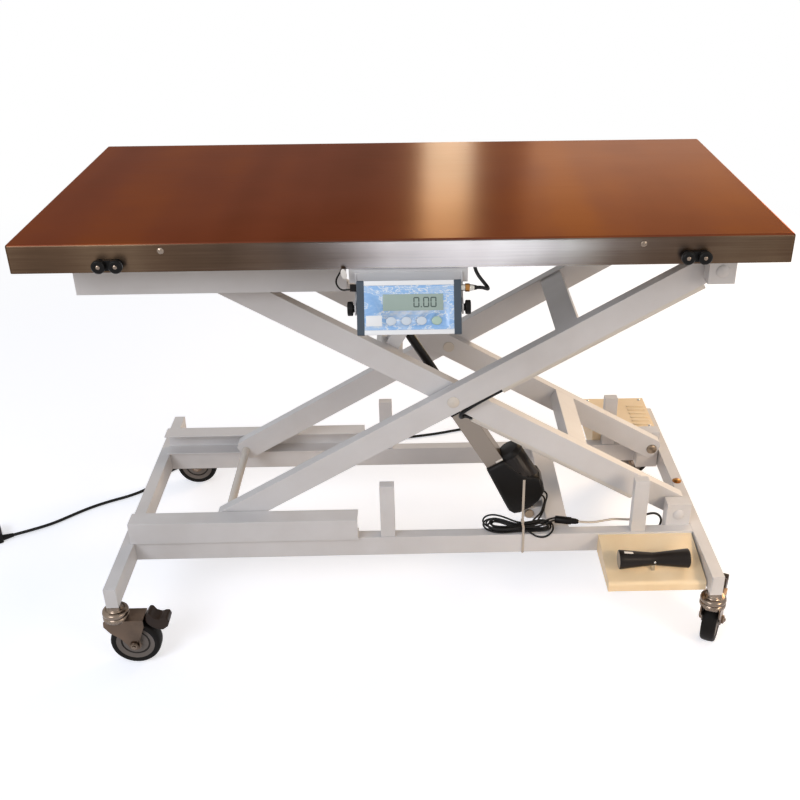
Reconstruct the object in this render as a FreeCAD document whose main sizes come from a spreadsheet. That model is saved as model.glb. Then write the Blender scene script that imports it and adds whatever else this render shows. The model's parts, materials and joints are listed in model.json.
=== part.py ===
import FreeCAD, Part
import Sketcher
import math
import os

# Electric scissor-lift weighing table for animals.
# Machine frame: millimetres, +Z up, floor at Z 0, X along the table, front at -Y.
# Inside the machine frame X 0, Y 0 is under the middle of the table top.

doc = FreeCAD.newDocument("ExamTable")
sheet = doc.addObject("Spreadsheet::Sheet", "Sizes")
sheet_rows = []
nodes = []


# ---------------------------------------------------------------- sizes

class Size:
    """A length or angle that carries its value and the sheet formula behind it."""

    def __init__(self, value, formula):
        self.value = float(value)
        self.formula = formula

    def join(self, other, sign, value):
        return Size(value, "(%s %s %s)" % (self.formula, sign, formula(other)))

    def __add__(self, other):
        return self.join(other, "+", self.value + number(other))

    def __sub__(self, other):
        return self.join(other, "-", self.value - number(other))

    def __mul__(self, other):
        return self.join(other, "*", self.value * number(other))

    def __truediv__(self, other):
        return self.join(other, "/", self.value / number(other))

    def __neg__(self):
        return Size(-self.value, "(0 - %s)" % self.formula)

    def __radd__(self, other):
        return size(other) + self

    def __rsub__(self, other):
        return size(other) - self

    def __rmul__(self, other):
        return size(other) * self


def number(value):
    return value.value if isinstance(value, Size) else float(value)


def formula(value):
    if isinstance(value, Size):
        return value.formula
    text = "%.4f" % value
    return "(0 - %s)" % text[1:] if text.startswith("-") else text


def size(value):
    return value if isinstance(value, Size) else Size(value, formula(value))


def sine(angle):
    return Size(math.sin(math.radians(angle.value)), "sin(%s)" % angle.formula)


def cosine(angle):
    return Size(math.cos(math.radians(angle.value)), "cos(%s)" % angle.formula)


def dim(alias, value, meaning):
    """One row of the sheet: what it is, its value, and its alias."""
    row = len(sheet_rows) + 1
    sheet_rows.append(alias)
    sheet.set("A%d" % row, meaning)
    sheet.set("B%d" % row, "%g" % value)
    sheet.setAlias("B%d" % row, alias)
    return Size(value, "Sizes." + alias)


# where the machine frame stands in the part's own frame
machine_x = dim("machine_x", -7, "table middle, X")
machine_y = dim("machine_y", 17, "table middle, Y")

# table top
top_length = dim("top_length", 1300, "table top length")
top_width = dim("top_width", 635, "table top width")
top_height = dim("top_height", 881, "table top height at rest")
skirt_depth = dim("skirt_depth", 50, "depth of the folded skirt")
top_sheet = dim("top_sheet", 1.5, "steel sheet of the top")
top_edge = dim("top_edge", 5, "outer edge radius of the top")

# frame tubes
floor_gap = dim("floor_gap", 140, "underside of the base tubes")
tube_tall = dim("tube_tall", 45, "height of the base tubes")
tube_wide = dim("tube_wide", 25, "width of the base tubes")
tube_wall = dim("tube_wall", 2.5, "wall of the frame tubes")
base_depth = dim("base_depth", 680, "length of the end tubes")
left_tube_x = dim("left_tube_x", -585.5, "left end tube, X")
right_tube_x = dim("right_tube_x", 603.5, "right end tube, X")
rail_inner = dim("rail_inner", 163, "inner face of the side rails")
cross_x = dim("cross_x", 311.5, "cross tube, X")
cross_wide = dim("cross_wide", 45, "cross tube width")
post_wide = dim("post_wide", 30, "stop post width")
post_thick = dim("post_thick", 20, "stop post thickness")
post_top = dim("post_top", 310, "top of the stop posts")
upper_rail_low = dim("upper_rail_low", 791, "underside of the upper rails")
upper_rail_tall = dim("upper_rail_tall", 40, "height of the upper rails")

# roller tracks
track_tall = dim("track_tall", 50, "track height")
track_deep = dim("track_deep", 40, "track depth")
track_sheet = dim("track_sheet", 3, "track sheet")
track_inner = dim("track_inner", 155.5, "open side of the tracks")

# scissor
scissor_angle = dim("scissor_angle", 30, "angle of the arms at rest")
lower_pivot_x = dim("lower_pivot_x", 564, "fixed lower pivot, X")
lower_pivot_z = dim("lower_pivot_z", 210, "fixed lower pivot, Z")
lower_half = dim("lower_half", 548, "arm length below the centre pivot")
upper_half = dim("upper_half", 564, "arm length above the centre pivot")
arm_tall = dim("arm_tall", 50, "arm section height")
arm_wide = dim("arm_wide", 25, "arm section width")
arm_wall = dim("arm_wall", 2, "arm tube wall")
arm_end = dim("arm_end", 14, "arm beyond its end pin")
arm_bevel = dim("arm_bevel", 9, "bevelled corner of an arm end")
outer_arm_y = dim("outer_arm_y", 128, "inner face of the outer arms")
inner_arm_y = dim("inner_arm_y", 100, "inner face of the inner arms")
pin_radius = dim("pin_radius", 9, "hinge pin radius")
running_gap = dim("running_gap", 0.05, "running clearance on a radius")
roller_radius = dim("roller_radius", 20, "roller radius")
beam_wide = dim("beam_wide", 48, "cross beam width")
beam_thick = dim("beam_thick", 25, "cross beam thickness")
block_wide = dim("block_wide", 50, "hinge block width")

# actuator
motor_pivot_x = dim("motor_pivot_x", 260, "actuator lower pivot, X")
motor_pivot_z = dim("motor_pivot_z", 160, "actuator lower pivot, Z")
actuator_y = dim("actuator_y", -60, "actuator plane")
actuator_lean = dim("actuator_lean", 59.3, "actuator angle above the floor")
actuator_reach = dim("actuator_reach", 524, "distance between the actuator pivots")
profile_side = dim("profile_side", 40, "actuator profile width")
profile_wall = dim("profile_wall", 2.5, "actuator profile wall")
profile_top = dim("profile_top", 314, "profile mouth from the lower pivot")
rod_radius = dim("rod_radius", 9, "push rod radius")
rod_length = dim("rod_length", 280, "push rod length")
clevis_radius = dim("clevis_radius", 14, "clevis ear radius")
clevis_pin = dim("clevis_pin", 6, "clevis pin radius")

# casters
stem_y = dim("stem_y", 327.5, "caster stem, distance from the middle")
wheel_radius = dim("wheel_radius", 50, "wheel radius")
wheel_wide = dim("wheel_wide", 30, "wheel width")
hub_radius = dim("hub_radius", 38, "hub radius")
trail = dim("trail", 31.5, "caster trail")
fork_gap = dim("fork_gap", 34, "space inside the fork")
fork_sheet = dim("fork_sheet", 3, "fork sheet")
front_right_swing = dim("front_right_swing", 64, "front right caster direction")
back_right_swing = dim("back_right_swing", 190, "back right caster direction")

# weighing display
case_length = dim("case_length", 172, "display case length")
case_tall = dim("case_tall", 90, "display case face height")
case_deep = dim("case_deep", 30, "display case depth")
case_x = dim("case_x", 8, "display middle, X")
case_y = dim("case_y", -354.5, "display tilt axis, Y")
case_z = dim("case_z", 775, "display tilt axis, Z")
case_tilt = dim("case_tilt", 26, "display leaning back")

# foot control
tray_left = dim("tray_left", 392, "pedal tray left side")
tray_right = dim("tray_right", 588, "pedal tray right side")
tray_front = dim("tray_front", -320, "pedal tray front")
pedal_x = dim("pedal_x", 487, "foot rocker, X")
pedal_y = dim("pedal_y", -283, "foot rocker, Y")
pedal_z = dim("pedal_z", 189, "foot rocker, Z")
pedal_length = dim("pedal_length", 142, "foot rocker length")

rail_outer = rail_inner + tube_wide
rail_top = floor_gap + tube_tall
centre_x = lower_pivot_x - lower_half * cosine(scissor_angle)
centre_z = lower_pivot_z + lower_half * sine(scissor_angle)
upper_pivot_z = lower_pivot_z + (lower_half + upper_half) * sine(scissor_angle)
upper_pivot_x = centre_x + upper_half * cosine(scissor_angle)
upper_rail_top = upper_rail_low + upper_rail_tall
under_sheet = top_height - top_sheet
half_track = track_tall / 2


# ---------------------------------------------------------------- makers

AXIS_TURNS = {
    "X": FreeCAD.Rotation(FreeCAD.Vector(0, 1, 0), 90),
    "Y": FreeCAD.Rotation(FreeCAD.Vector(1, 0, 0), -90),
    "Z": FreeCAD.Rotation(),
}
FACING_FRONT = FreeCAD.Rotation(FreeCAD.Vector(1, 0, 0), 90)


def bind(piece, settings):
    for path, value in settings.items():
        piece.setExpression(path, formula(value))


def stand(piece, place, turn=None):
    """Place a piece by formulas; turn is (axis, angle) about its own origin."""
    if turn is not None:
        axis, angle = turn
        piece.Placement = FreeCAD.Placement(FreeCAD.Vector(), FreeCAD.Rotation(axis, number(angle)))
    bind(piece, {"Placement.Base.x": place[0], "Placement.Base.y": place[1],
                 "Placement.Base.z": place[2]})
    return piece


def box(name, x, y, z):
    piece = doc.addObject("Part::Box", name)
    bind(piece, {"Length": x[1] - x[0], "Width": y[1] - y[0], "Height": z[1] - z[0]})
    return stand(piece, (x[0], y[0], z[0]))


def rod(name, radius, start, length, axis="Z"):
    piece = doc.addObject("Part::Cylinder", name)
    bind(piece, {"Radius": radius, "Height": length})
    piece.Placement = FreeCAD.Placement(FreeCAD.Vector(), AXIS_TURNS[axis])
    return stand(piece, start)


def cut(name, base, *tools):
    result = base
    for index, tool in enumerate(tools):
        step = doc.addObject("Part::Cut", "%s_cut%d" % (name, index))
        step.Base = result
        step.Tool = tool
        result = step
    return result


def fuse(name, *pieces):
    piece = doc.addObject("Part::MultiFuse", name + "_whole")
    piece.Shapes = list(pieces)
    return piece


def rounded(name, base, radius, edges):
    """Round the edges of base that the test picks."""
    doc.recompute()
    chosen = [index + 1 for index, edge in enumerate(base.Shape.Edges) if edges(edge)]
    piece = doc.addObject("Part::Fillet", name + "_rounded")
    piece.Base = base
    piece.Edges = [(index, number(radius), number(radius)) for index in chosen]
    return piece


def along(axis):
    """Pick the straight edges that run along one axis, X 0, Y 1, Z 2."""
    def test(edge):
        if not isinstance(edge.Curve, Part.Line):
            return False
        return abs(abs(edge.tangentAt(edge.FirstParameter)[axis]) - 1) < 1e-6
    return test


def origin_plane(body, role):
    return next(plane for plane in body.Origin.OriginFeatures if plane.Role == role)


def draw(body, role, corners, holes=()):
    """A closed outline of straight sides in a sketch; every corner is held by formulas.

    A corner written (a, b, "dome") starts an arc, centred on the line a = 0, to the next one.
    """
    sketch = body.newObject("Sketcher::SketchObject", body.Name + "_sketch")
    sketch.AttachmentSupport = [(origin_plane(body, role), "")]
    sketch.MapMode = "FlatFace"
    points = [FreeCAD.Vector(number(c[0]), number(c[1]), 0) for c in corners]
    count = len(corners)
    domes = []
    for index, corner in enumerate(corners):
        first, last = points[index], points[(index + 1) % count]
        if len(corner) == 3:
            middle = dome_centre(first, last)
            circle = Part.Circle(middle, FreeCAD.Vector(0, 0, 1), (first - middle).Length)
            turns = sorted((circle.parameter(first), circle.parameter(last)))
            sketch.addGeometry(Part.ArcOfCircle(circle, turns[0], turns[1]))
            domes.append((index, circle.parameter(first) > circle.parameter(last)))
        else:
            sketch.addGeometry(Part.LineSegment(first, last))
    flipped = dict(domes)
    for index in range(count):
        following = (index + 1) % count
        end = 1 if flipped.get(index) else 2
        begin = 2 if flipped.get(following) else 1
        sketch.addConstraint(Sketcher.Constraint("Coincident", index, end, following, begin))
    for index, corner in enumerate(corners):
        begin = 2 if flipped.get(index) else 1
        hold(sketch, "DistanceX", index, begin, corner[0])
        hold(sketch, "DistanceY", index, begin, corner[1])
    for index in flipped:
        hold(sketch, "DistanceX", index, 3, 0)
    for a, b, radius in holes:
        centre = FreeCAD.Vector(number(a), number(b), 0)
        circle = sketch.addGeometry(Part.Circle(centre, FreeCAD.Vector(0, 0, 1), number(radius)))
        hold(sketch, "DistanceX", circle, 3, a)
        hold(sketch, "DistanceY", circle, 3, b)
        row = sketch.addConstraint(Sketcher.Constraint("Radius", circle, number(radius)))
        sketch.setExpression("Constraints[%d]" % row, formula(radius))
    return sketch


def dome_centre(first, last):
    """Centre, on the line a = 0, of the arc through two points."""
    if abs(first.y - last.y) < 1e-9:
        return FreeCAD.Vector(0, first.y, 0)
    height = (first.x ** 2 + first.y ** 2 - last.x ** 2 - last.y ** 2) / (2 * (first.y - last.y))
    return FreeCAD.Vector(0, height, 0)


def hold(sketch, kind, curve, point, value):
    row = sketch.addConstraint(Sketcher.Constraint(kind, -1, 1, curve, point, number(value)))
    sketch.setExpression("Constraints[%d]" % row, formula(value))


def plate(name, role, corners, span, holes=(), round_by=None, round_if=None):
    """A straight extrusion of an outline: XZ runs along Y, YZ along X, XY along Z."""
    body = doc.addObject("PartDesign::Body", name)
    sketch = draw(body, role + "_Plane", corners, holes)
    pad = body.newObject("PartDesign::Pad", name + "_pad")
    pad.Profile = sketch
    bind(pad, {"Length": span[1] - span[0]})
    if round_by is not None:
        doc.recompute()
        chosen = ["Edge%d" % (i + 1) for i, e in enumerate(pad.Shape.Edges) if round_if(e)]
        soft = body.newObject("PartDesign::Fillet", name + "_fillet")
        soft.Base = (pad, chosen)
        bind(soft, {"Radius": round_by})
    starts = {"XZ": (0, span[1], 0), "YZ": (span[0], 0, 0), "XY": (0, 0, span[0])}
    return stand(body, starts[role])


def turned(name, corners, start=(0, 0, 0), axis="Z"):
    """A turned piece: corners are (radius, distance along the axis)."""
    body = doc.addObject("PartDesign::Body", name)
    sketch = draw(body, "XZ_Plane", corners)
    spin = body.newObject("PartDesign::Revolution", name + "_turn")
    spin.Profile = sketch
    spin.ReferenceAxis = (sketch, ["V_Axis"])
    spin.Angle = 360
    body.Placement = FreeCAD.Placement(FreeCAD.Vector(), AXIS_TURNS[axis])
    return stand(body, start)


def node(label, *pieces, place=(0, 0, 0), turn=None):
    """One named sub-part, moved from its own frame to the part's frame."""
    group = doc.addObject("Part::Compound", label)
    group.Links = list(pieces)
    group.Label = label
    stand(group, (machine_x + place[0], machine_y + place[1], size(place[2])), turn)
    nodes.append(group)
    return group


def pipe(label, radius, points):
    """A round cord along straight runs joined by arcs as large as the runs allow."""
    shift = FreeCAD.Vector(machine_x.value, machine_y.value, 0)
    corners = [FreeCAD.Vector(*point) for point in points]
    edges = []
    radii = []
    last = corners[0]
    for before, here, after in zip(corners, corners[1:], corners[2:]):
        way_in = (here - before).normalize()
        way_out = (after - here).normalize()
        turn = way_in.getAngle(way_out)
        reach = 0.45 * min((here - before).Length, (after - here).Length)
        radii.append(reach / math.tan(turn / 2))
        arc_start = here - way_in * reach
        arc_end = here + way_out * reach
        inward = (way_out - way_in).normalize()
        middle = here + inward * (radii[-1] / math.cos(turn / 2) - radii[-1])
        edges.append(Part.LineSegment(last, arc_start).toShape())
        edges.append(Part.Arc(arc_start, middle, arc_end).toShape())
        last = arc_end
    edges.append(Part.LineSegment(last, corners[-1]).toShape())
    path = Part.Wire(edges)
    ring = Part.Wire(Part.Circle(corners[0], corners[1] - corners[0], radius.value).toShape())
    shape = path.makePipeShell([ring], True, False)
    piece = doc.addObject("Part::Feature", label)
    piece.Shape = shape
    piece.Placement = FreeCAD.Placement(shift, FreeCAD.Rotation())
    nodes.append(piece)
    swept = math.pi * radius.value ** 2 * path.Length
    print("%s: length %.0f mm, least radius %.1f mm, volume %.3f of section times length"
          % (label, path.Length, min(radii), shape.Volume / swept))
    return piece


BOTH = (("front", -1), ("back", 1))


def across(side, near, far):
    """The Y span between two distances from the middle, on the front or the back."""
    return (-far, -near) if side < 0 else (near, far)


def hollow(name, x, y, z, wall, axis):
    """A rectangular tube, open at both ends along one axis."""
    spans = []
    for index, span in enumerate((x, y, z)):
        spans.append(span if index == axis else (span[0] + wall, span[1] - wall))
    return cut(name, box(name + "_outside", x, y, z), box(name + "_inside", *spans))


# ---------------------------------------------------------------- base frame

# two end tubes with a welded plate in each end
tubes = []
for side_name, tube_x in (("left", left_tube_x), ("right", right_tube_x)):
    tube_span = (tube_x - tube_wide / 2, tube_x + tube_wide / 2)
    tube_z = (floor_gap, rail_top)
    length = (-base_depth / 2, base_depth / 2)
    tubes.append(hollow("end_tube_" + side_name, tube_span, length, tube_z, tube_wall, 1))
    for end_name, end in BOTH:
        tubes.append(box("end_plate_%s_%s" % (side_name, end_name),
                         (tube_span[0] + tube_wall, tube_span[1] - tube_wall),
                         across(end, base_depth / 2 - tube_wall, base_depth / 2),
                         (floor_gap + tube_wall, rail_top - tube_wall)))
node("base_end_tubes", *tubes)

# side rails, the cross tube that carries the actuator, and the four stop posts
rail_span = (left_tube_x + tube_wide / 2, right_tube_x - tube_wide / 2)
post_front_x = dim("post_front_x", -47, "left front stop post, X")
post_back_x = dim("post_back_x", -57, "left back stop post, X")
post_right_x = dim("post_right_x", 475, "right stop posts, X")
post_inset = dim("post_inset", 166, "inner face of the stop posts")
rails = []
for side_name, side in BOTH:
    rails.append(hollow("rail_" + side_name, rail_span, across(side, rail_inner, rail_outer),
                        (floor_gap, rail_top), tube_wall, 0))
    for post_name, post_x in (("left", post_front_x if side < 0 else post_back_x),
                              ("right", post_right_x)):
        rails.append(box("post_%s_%s" % (post_name, side_name),
                         (post_x - post_wide / 2, post_x + post_wide / 2),
                         across(side, post_inset, post_inset + post_thick), (rail_top, post_top)))
rails.append(hollow("cross_tube", (cross_x - cross_wide / 2, cross_x + cross_wide / 2),
                    (-rail_inner, rail_inner), (floor_gap, rail_top), tube_wall, 1))
node("base_rails", *rails)


def track(name, side, x, low):
    """A folded channel with its web outside and its mouth towards the arms."""
    outside = across(side, track_inner, track_inner + track_deep)
    inside = across(side, track_inner, track_inner + track_deep - track_sheet)
    room = (low + track_sheet, low + track_tall - track_sheet)
    return cut(name, box(name + "_outside", x, outside, (low, low + track_tall)),
               box(name + "_room", x, inside, room))


lower_track_left = dim("lower_track_left", -579, "lower tracks, left end")
lower_track_right = dim("lower_track_right", -109, "lower tracks, right end")
node("lower_tracks", *[track("lower_track_" + name, side, (lower_track_left, lower_track_right),
                             rail_top) for name, side in BOTH])

# hinge blocks at the fixed end of the scissor; each pin has a domed head outside
block_in = dim("block_in", 133, "inner face of the lower hinge blocks")
dome_radius = dim("dome_radius", 12, "radius of a pin's domed head")
dome_rise = dim("dome_rise", 5, "rise of a pin's domed head")
dome_rim = dim("dome_rim", 1.5, "straight rim of a domed head")


def headed_pin(name, side, place, near, far, radius):
    """A pin along Y from near to far with a domed head at its outer end."""
    length = far - near
    body = turned(name, [(0, 0), (radius, 0), (radius, length), (dome_radius, length),
                         (dome_radius, length + dome_rim, "dome"),
                         (0, length + dome_rise)], axis="Y")
    if side < 0:
        body.Placement = FreeCAD.Placement(FreeCAD.Vector(), FACING_FRONT)
    return stand(body, (place[0], near if side > 0 else -near, place[1]))


def block_half(name, side, x, near, far, low, high, pin):
    block = box(name + "_block", (x - block_wide / 2, x + block_wide / 2), across(side, near, far),
                (low, high))
    bore = rod(name + "_bore", pin_radius, (pin[0], across(side, near, far)[0], pin[1]),
               far - near, "Y")
    return cut(name, block, bore)


lower_blocks = []
lower_pins = []
for side_name, side in BOTH:
    lower_blocks.append(block_half("lower_block_" + side_name, side, lower_pivot_x, block_in,
                                   rail_inner, floor_gap, rail_top + track_tall,
                                   (lower_pivot_x, lower_pivot_z)))
    lower_pins.append(headed_pin("lower_pin_" + side_name, side, (lower_pivot_x, lower_pivot_z),
                                 inner_arm_y, rail_inner, pin_radius))
node("lower_hinge_blocks", *(lower_blocks + lower_pins))

# clevis ears on the cross tube, with the pin that the actuator turns on
ear_thick = dim("ear_thick", 6, "clevis ear thickness")
ear_gap = dim("ear_gap", 10, "half the space between the clevis ears")
lug_half = ear_gap - 0.5
ears = []
cross_left = cross_x - cross_wide / 2
for side_name, side in BOTH:
    span = across(side, ear_gap, ear_gap + ear_thick)
    y_span = (actuator_y + span[0], actuator_y + span[1])
    round_end = rod("ear_end_" + side_name, clevis_radius, (motor_pivot_x, y_span[0],
                                                            motor_pivot_z), ear_thick, "Y")
    web = box("ear_web_" + side_name, (motor_pivot_x, cross_left), y_span,
              (motor_pivot_z - clevis_radius, motor_pivot_z + clevis_radius))
    hole = rod("ear_hole_" + side_name, clevis_pin, (motor_pivot_x, y_span[0], motor_pivot_z),
               ear_thick, "Y")
    ears.append(cut("ear_" + side_name, fuse("ear_" + side_name, round_end, web), hole))
pin_half = ear_gap + ear_thick
head_half = pin_half + 4
bolt_head = clevis_pin + 4
ears.append(rod("motor_bolt", clevis_pin, (motor_pivot_x, actuator_y - pin_half, motor_pivot_z),
                pin_half * 2, "Y"))
for side_name, side in BOTH:
    span = across(side, pin_half, head_half)
    ears.append(rod("motor_bolt_head_" + side_name, bolt_head,
                    (motor_pivot_x, actuator_y + span[0], motor_pivot_z), 4, "Y"))
node("actuator_clevis", *ears)

# caster stems: a plated neck and race under the tube, and the pin that the fork turns on
stems = []
race_profile = [(0, 104), (8, 104), (8, 118.3), (24, 118.3), (26, 121), (26, 126), (20, 130.5),
                (13, 132), (13, 140), (0, 140)]
stem_places = {"front_left": (left_tube_x, -stem_y, size(0)),
               "back_left": (left_tube_x, stem_y, size(0)),
               "front_right": (right_tube_x, -stem_y, front_right_swing),
               "back_right": (right_tube_x, stem_y, back_right_swing)}
for corner, (stem_x, stem_place_y, swing) in stem_places.items():
    stems.append(turned("stem_" + corner, race_profile, (stem_x, stem_place_y, 0)))
node("caster_stems", *stems)

# pedal tray: a folded sheet cover in front of the front rail, with the rocker's pillar
tray_sheet = dim("tray_sheet", 2, "pedal tray sheet")
tray_back = -rail_outer
tray_low = dim("tray_low", 138, "pedal tray lower edge")
tray_back_top = dim("tray_back_top", 181, "pedal tray top at the rail")
tray_front_top = dim("tray_front_top", 158, "pedal tray top at the front")
tray_bend = dim("tray_bend", 9, "pedal tray bend radius")


def front_bend(edge):
    middle = edge.CenterOfMass
    return along(0)(edge) and middle.y < -300 and middle.z > 150


cover = plate("tray_cover", "YZ", [(tray_back, tray_low), (tray_back, tray_back_top),
                                   (tray_front, tray_front_top), (tray_front, tray_low)],
              (tray_left, tray_right), round_by=tray_bend, round_if=front_bend)
inside = plate("tray_room", "YZ", [(tray_back + 1, tray_low - 1),
                                   (tray_back + 1, tray_back_top - tray_sheet),
                                   (tray_front + tray_sheet, tray_front_top - tray_sheet),
                                   (tray_front + tray_sheet, tray_low - 1)],
               (tray_left + tray_sheet, tray_right - tray_sheet),
               round_by=tray_bend - tray_sheet, round_if=front_bend)
pillar_half = 4
pillar_low = 162
pillar_slot = box("pillar_slot", (pedal_x - pillar_half, pedal_x + pillar_half),
                  (pedal_y - 5, pedal_y + 5), (pillar_low, pedal_z))
pillar = box("pillar", (pedal_x - pillar_half, pedal_x + pillar_half),
             (pedal_y - 5, pedal_y + 5), (pillar_low, pedal_z + 5))
pedal_pin_radius = 2.5
pillar_hole = rod("pillar_hole", pedal_pin_radius, (pedal_x, pedal_y - 5, pedal_z), 10, "Y")
pedal_pin = rod("pedal_pin", pedal_pin_radius, (pedal_x, pedal_y - 12.5, pedal_z), 25, "Y")


def under_tray(y):
    """Height of the underside of the tray's sloping sheet."""
    near = tray_back.value + 1
    far = tray_front.value + tray_sheet.value
    fall = tray_back_top.value - tray_front_top.value
    return tray_back_top.value - tray_sheet.value - fall * (y - near) / (far - near)


switch_back = -223
switch_front = -247
switch_low = 150
switch = plate("foot_switch", "YZ", [(switch_back, switch_low), (switch_front, switch_low),
                                     (switch_front, under_tray(switch_front)),
                                     (switch_back, under_tray(switch_back))], (474, 498))
node("pedal_tray", cut("tray", cover, inside, pillar_slot), cut("pillar", pillar, pillar_hole),
     pedal_pin, switch)

# foot rocker: a double cone with a slot below for the pillar
waist = dim("waist", 13, "foot rocker waist radius")
pedal_end = dim("pedal_end", 19.5, "foot rocker end radius")
half_pedal = pedal_length / 2
cones = turned("rocker_cones", [(0, -half_pedal), (pedal_end - 2, -half_pedal),
                                (pedal_end, -half_pedal + 2), (waist, -4), (waist, 4),
                                (pedal_end, half_pedal - 2), (pedal_end - 2, half_pedal),
                                (0, half_pedal)], (pedal_x, pedal_y, pedal_z), "X")
rocker_slot = box("rocker_slot", (pedal_x - 6, pedal_x + 6), (pedal_y - 5.3, pedal_y + 5.3),
                  (pedal_z - 20, pedal_z + 6.5))
rocker_bore = rod("rocker_bore", pedal_pin_radius + running_gap, (pedal_x, pedal_y - 20, pedal_z),
                  40, "Y")
node("foot_rocker", cut("rocker", cones, rocker_slot, rocker_bore))

# control box behind the back rail
box_left = dim("box_left", 440, "control box left side")
box_back = dim("box_back", 338, "control box back")
box_low = dim("box_low", 146, "control box underside")
box_high = dim("box_high", 216, "control box top")
box_x = (box_left, right_tube_x - tube_wide / 2)
box_y = (rail_outer, box_back)
shell = box("box_shell", box_x, box_y, (box_low, box_high))
room = box("box_room", (box_x[0] + 1.5, box_x[1] - 1.5), (box_y[0] + 1.5, box_y[1] - 1.5),
           (box_low + 1.5, box_high - 1.5))
slots = [box("louvre_%d" % row, (543, 583), (203 + 18 * row, 207 + 18 * row),
             (box_high - 3, box_high + 3)) for row in range(6)]
gland_x = 470
gland_z = 158
gland = turned("cord_gland", [(0, 0), (9, 0), (9, 4), (7, 5), (4.6, 22), (0, 22)],
               (gland_x, box_back, gland_z), "Y")
node("control_box", cut("box", shell, room, *slots), gland)


# ---------------------------------------------------------------- casters

wheel_half = wheel_wide / 2
fork_in = fork_gap / 2
fork_out = fork_in + fork_sheet
crown_low = 106
crown_high = 118
axle_radius = 6
brake_pin = 2
brake_x = 51.5
brake_z = 103.3
for corner, (stem_x, stem_place_y, swing) in stem_places.items():
    place = (stem_x, stem_place_y, 0)
    turn = (FreeCAD.Vector(0, 0, 1), swing)
    crown = turned("crown_" + corner, [(8 + running_gap, crown_low), (24, crown_low),
                                       (26, 109), (26, 115), (24, crown_high),
                                       (8 + running_gap, crown_high)])
    crown_plate = box("crown_plate_" + corner, (10, 56), (-fork_out, fork_out), (108, 112))
    stem_room = rod("stem_room_" + corner, 8 + running_gap, (0, 0, 100), 30)
    cheeks = [plate("cheek_%s_%s" % (corner, name), "XZ",
                    [(-22, 110), (-23, 98), (-12, 82), (6, 68), (17, 52), (22, 41), (32, 37),
                     (42, 41), (46, 50), (44, 62), (50, 80), (56, 96), (56, 112), (0, 112)],
                    across(side, fork_in, fork_out), holes=[(trail, wheel_radius, axle_radius)])
              for name, side in BOTH]
    brake_hole = rod("brake_hole_" + corner, brake_pin, (brake_x, -20, brake_z), 40, "Y")
    fork = cut("fork_" + corner, fuse("fork_" + corner, crown, crown_plate, *cheeks), stem_room,
               brake_hole)
    axle = rod("axle_" + corner, axle_radius, (trail, -fork_out, wheel_radius), fork_out * 2, "Y")
    pivot = rod("brake_pin_" + corner, brake_pin, (brake_x, -fork_out, brake_z), fork_out * 2, "Y")
    heads = [rod("axle_head_%s_%s" % (corner, name), 9,
                 (trail, across(side, fork_out, fork_out + 4)[0], wheel_radius), 4, "Y")
             for name, side in BOTH]
    node("caster_fork_" + corner, fork, axle, pivot, *heads, place=place, turn=turn)

    bore = axle_radius + running_gap
    hub_profile = [(bore, -16), (14, -16), (16, -11), (hub_radius - 4, -11),
                   (hub_radius, -13), (hub_radius, 13), (hub_radius - 4, 11), (16, 11),
                   (14, 16), (bore, 16)]
    tyre_profile = [(hub_radius, -13), (wheel_radius - 5, -wheel_half), (wheel_radius - 1, -10),
                    (wheel_radius, -4), (wheel_radius, 4), (wheel_radius - 1, 10),
                    (wheel_radius - 5, wheel_half), (hub_radius, 13)]
    wheel_place = (trail, 0, wheel_radius)
    node("caster_wheel_" + corner, turned("hub_" + corner, hub_profile, wheel_place, "Y"),
         turned("tyre_" + corner, tyre_profile, wheel_place, "Y"), place=place, turn=turn)

    pedal = plate("brake_" + corner, "XZ",
                  [(61, 118), (66, 125), (72, 124), (78, 114), (88, 110), (96, 113), (103, 113),
                   (106, 104), (102, 92), (92, 84), (80, 86), (70, 92), (63, 99), (60, 106)],
                  (-15, 15))
    tongue = box("brake_tongue_" + corner, (48, 64), (-10, 10), (100.3, 106.3))
    tongue_bore = rod("brake_bore_" + corner, brake_pin + running_gap.value,
                      (brake_x, -12, brake_z), 24, "Y")
    node("caster_brake_" + corner, cut("brake_" + corner,
                                       fuse("brake_" + corner, pedal, tongue), tongue_bore),
         place=place, turn=turn)


# ---------------------------------------------------------------- scissor arms

def arm(name, side, near, left_end, right_end, holes):
    """A closed rectangular tube with bevelled ends, bushed where a pin goes through."""
    half = arm_tall / 2
    left = left_end - arm_end
    right = right_end + arm_end
    outline = [(left + arm_bevel, -half), (right - arm_bevel, -half), (right, arm_bevel - half),
               (right, half - arm_bevel), (right - arm_bevel, half), (left + arm_bevel, half),
               (left, half - arm_bevel), (left, arm_bevel - half)]
    span = across(side, near, near + arm_wide)
    outer = plate(name + "_skin", "XZ", outline, span,
                  holes=[(place, 0, radius) for place, radius in holes])
    inner = box(name + "_inside", (left + arm_bevel, right - arm_bevel),
                (span[0] + arm_wall, span[1] - arm_wall), (arm_wall - half, half - arm_wall))
    bushes = [rod("%s_bush%d" % (name, index), radius + 4, (place, span[0], 0), arm_wide, "Y")
              for index, (place, radius) in enumerate(holes)]
    return cut(name, outer, cut(name + "_space", inner, *bushes))


def across_box(name, middle, wide, low, thick, reach):
    """A cross beam between two arms, closed by them at both ends."""
    return hollow(name, (middle - wide / 2, middle + wide / 2), (-reach, reach),
                  (low, low + thick), arm_wall, 1)


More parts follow.
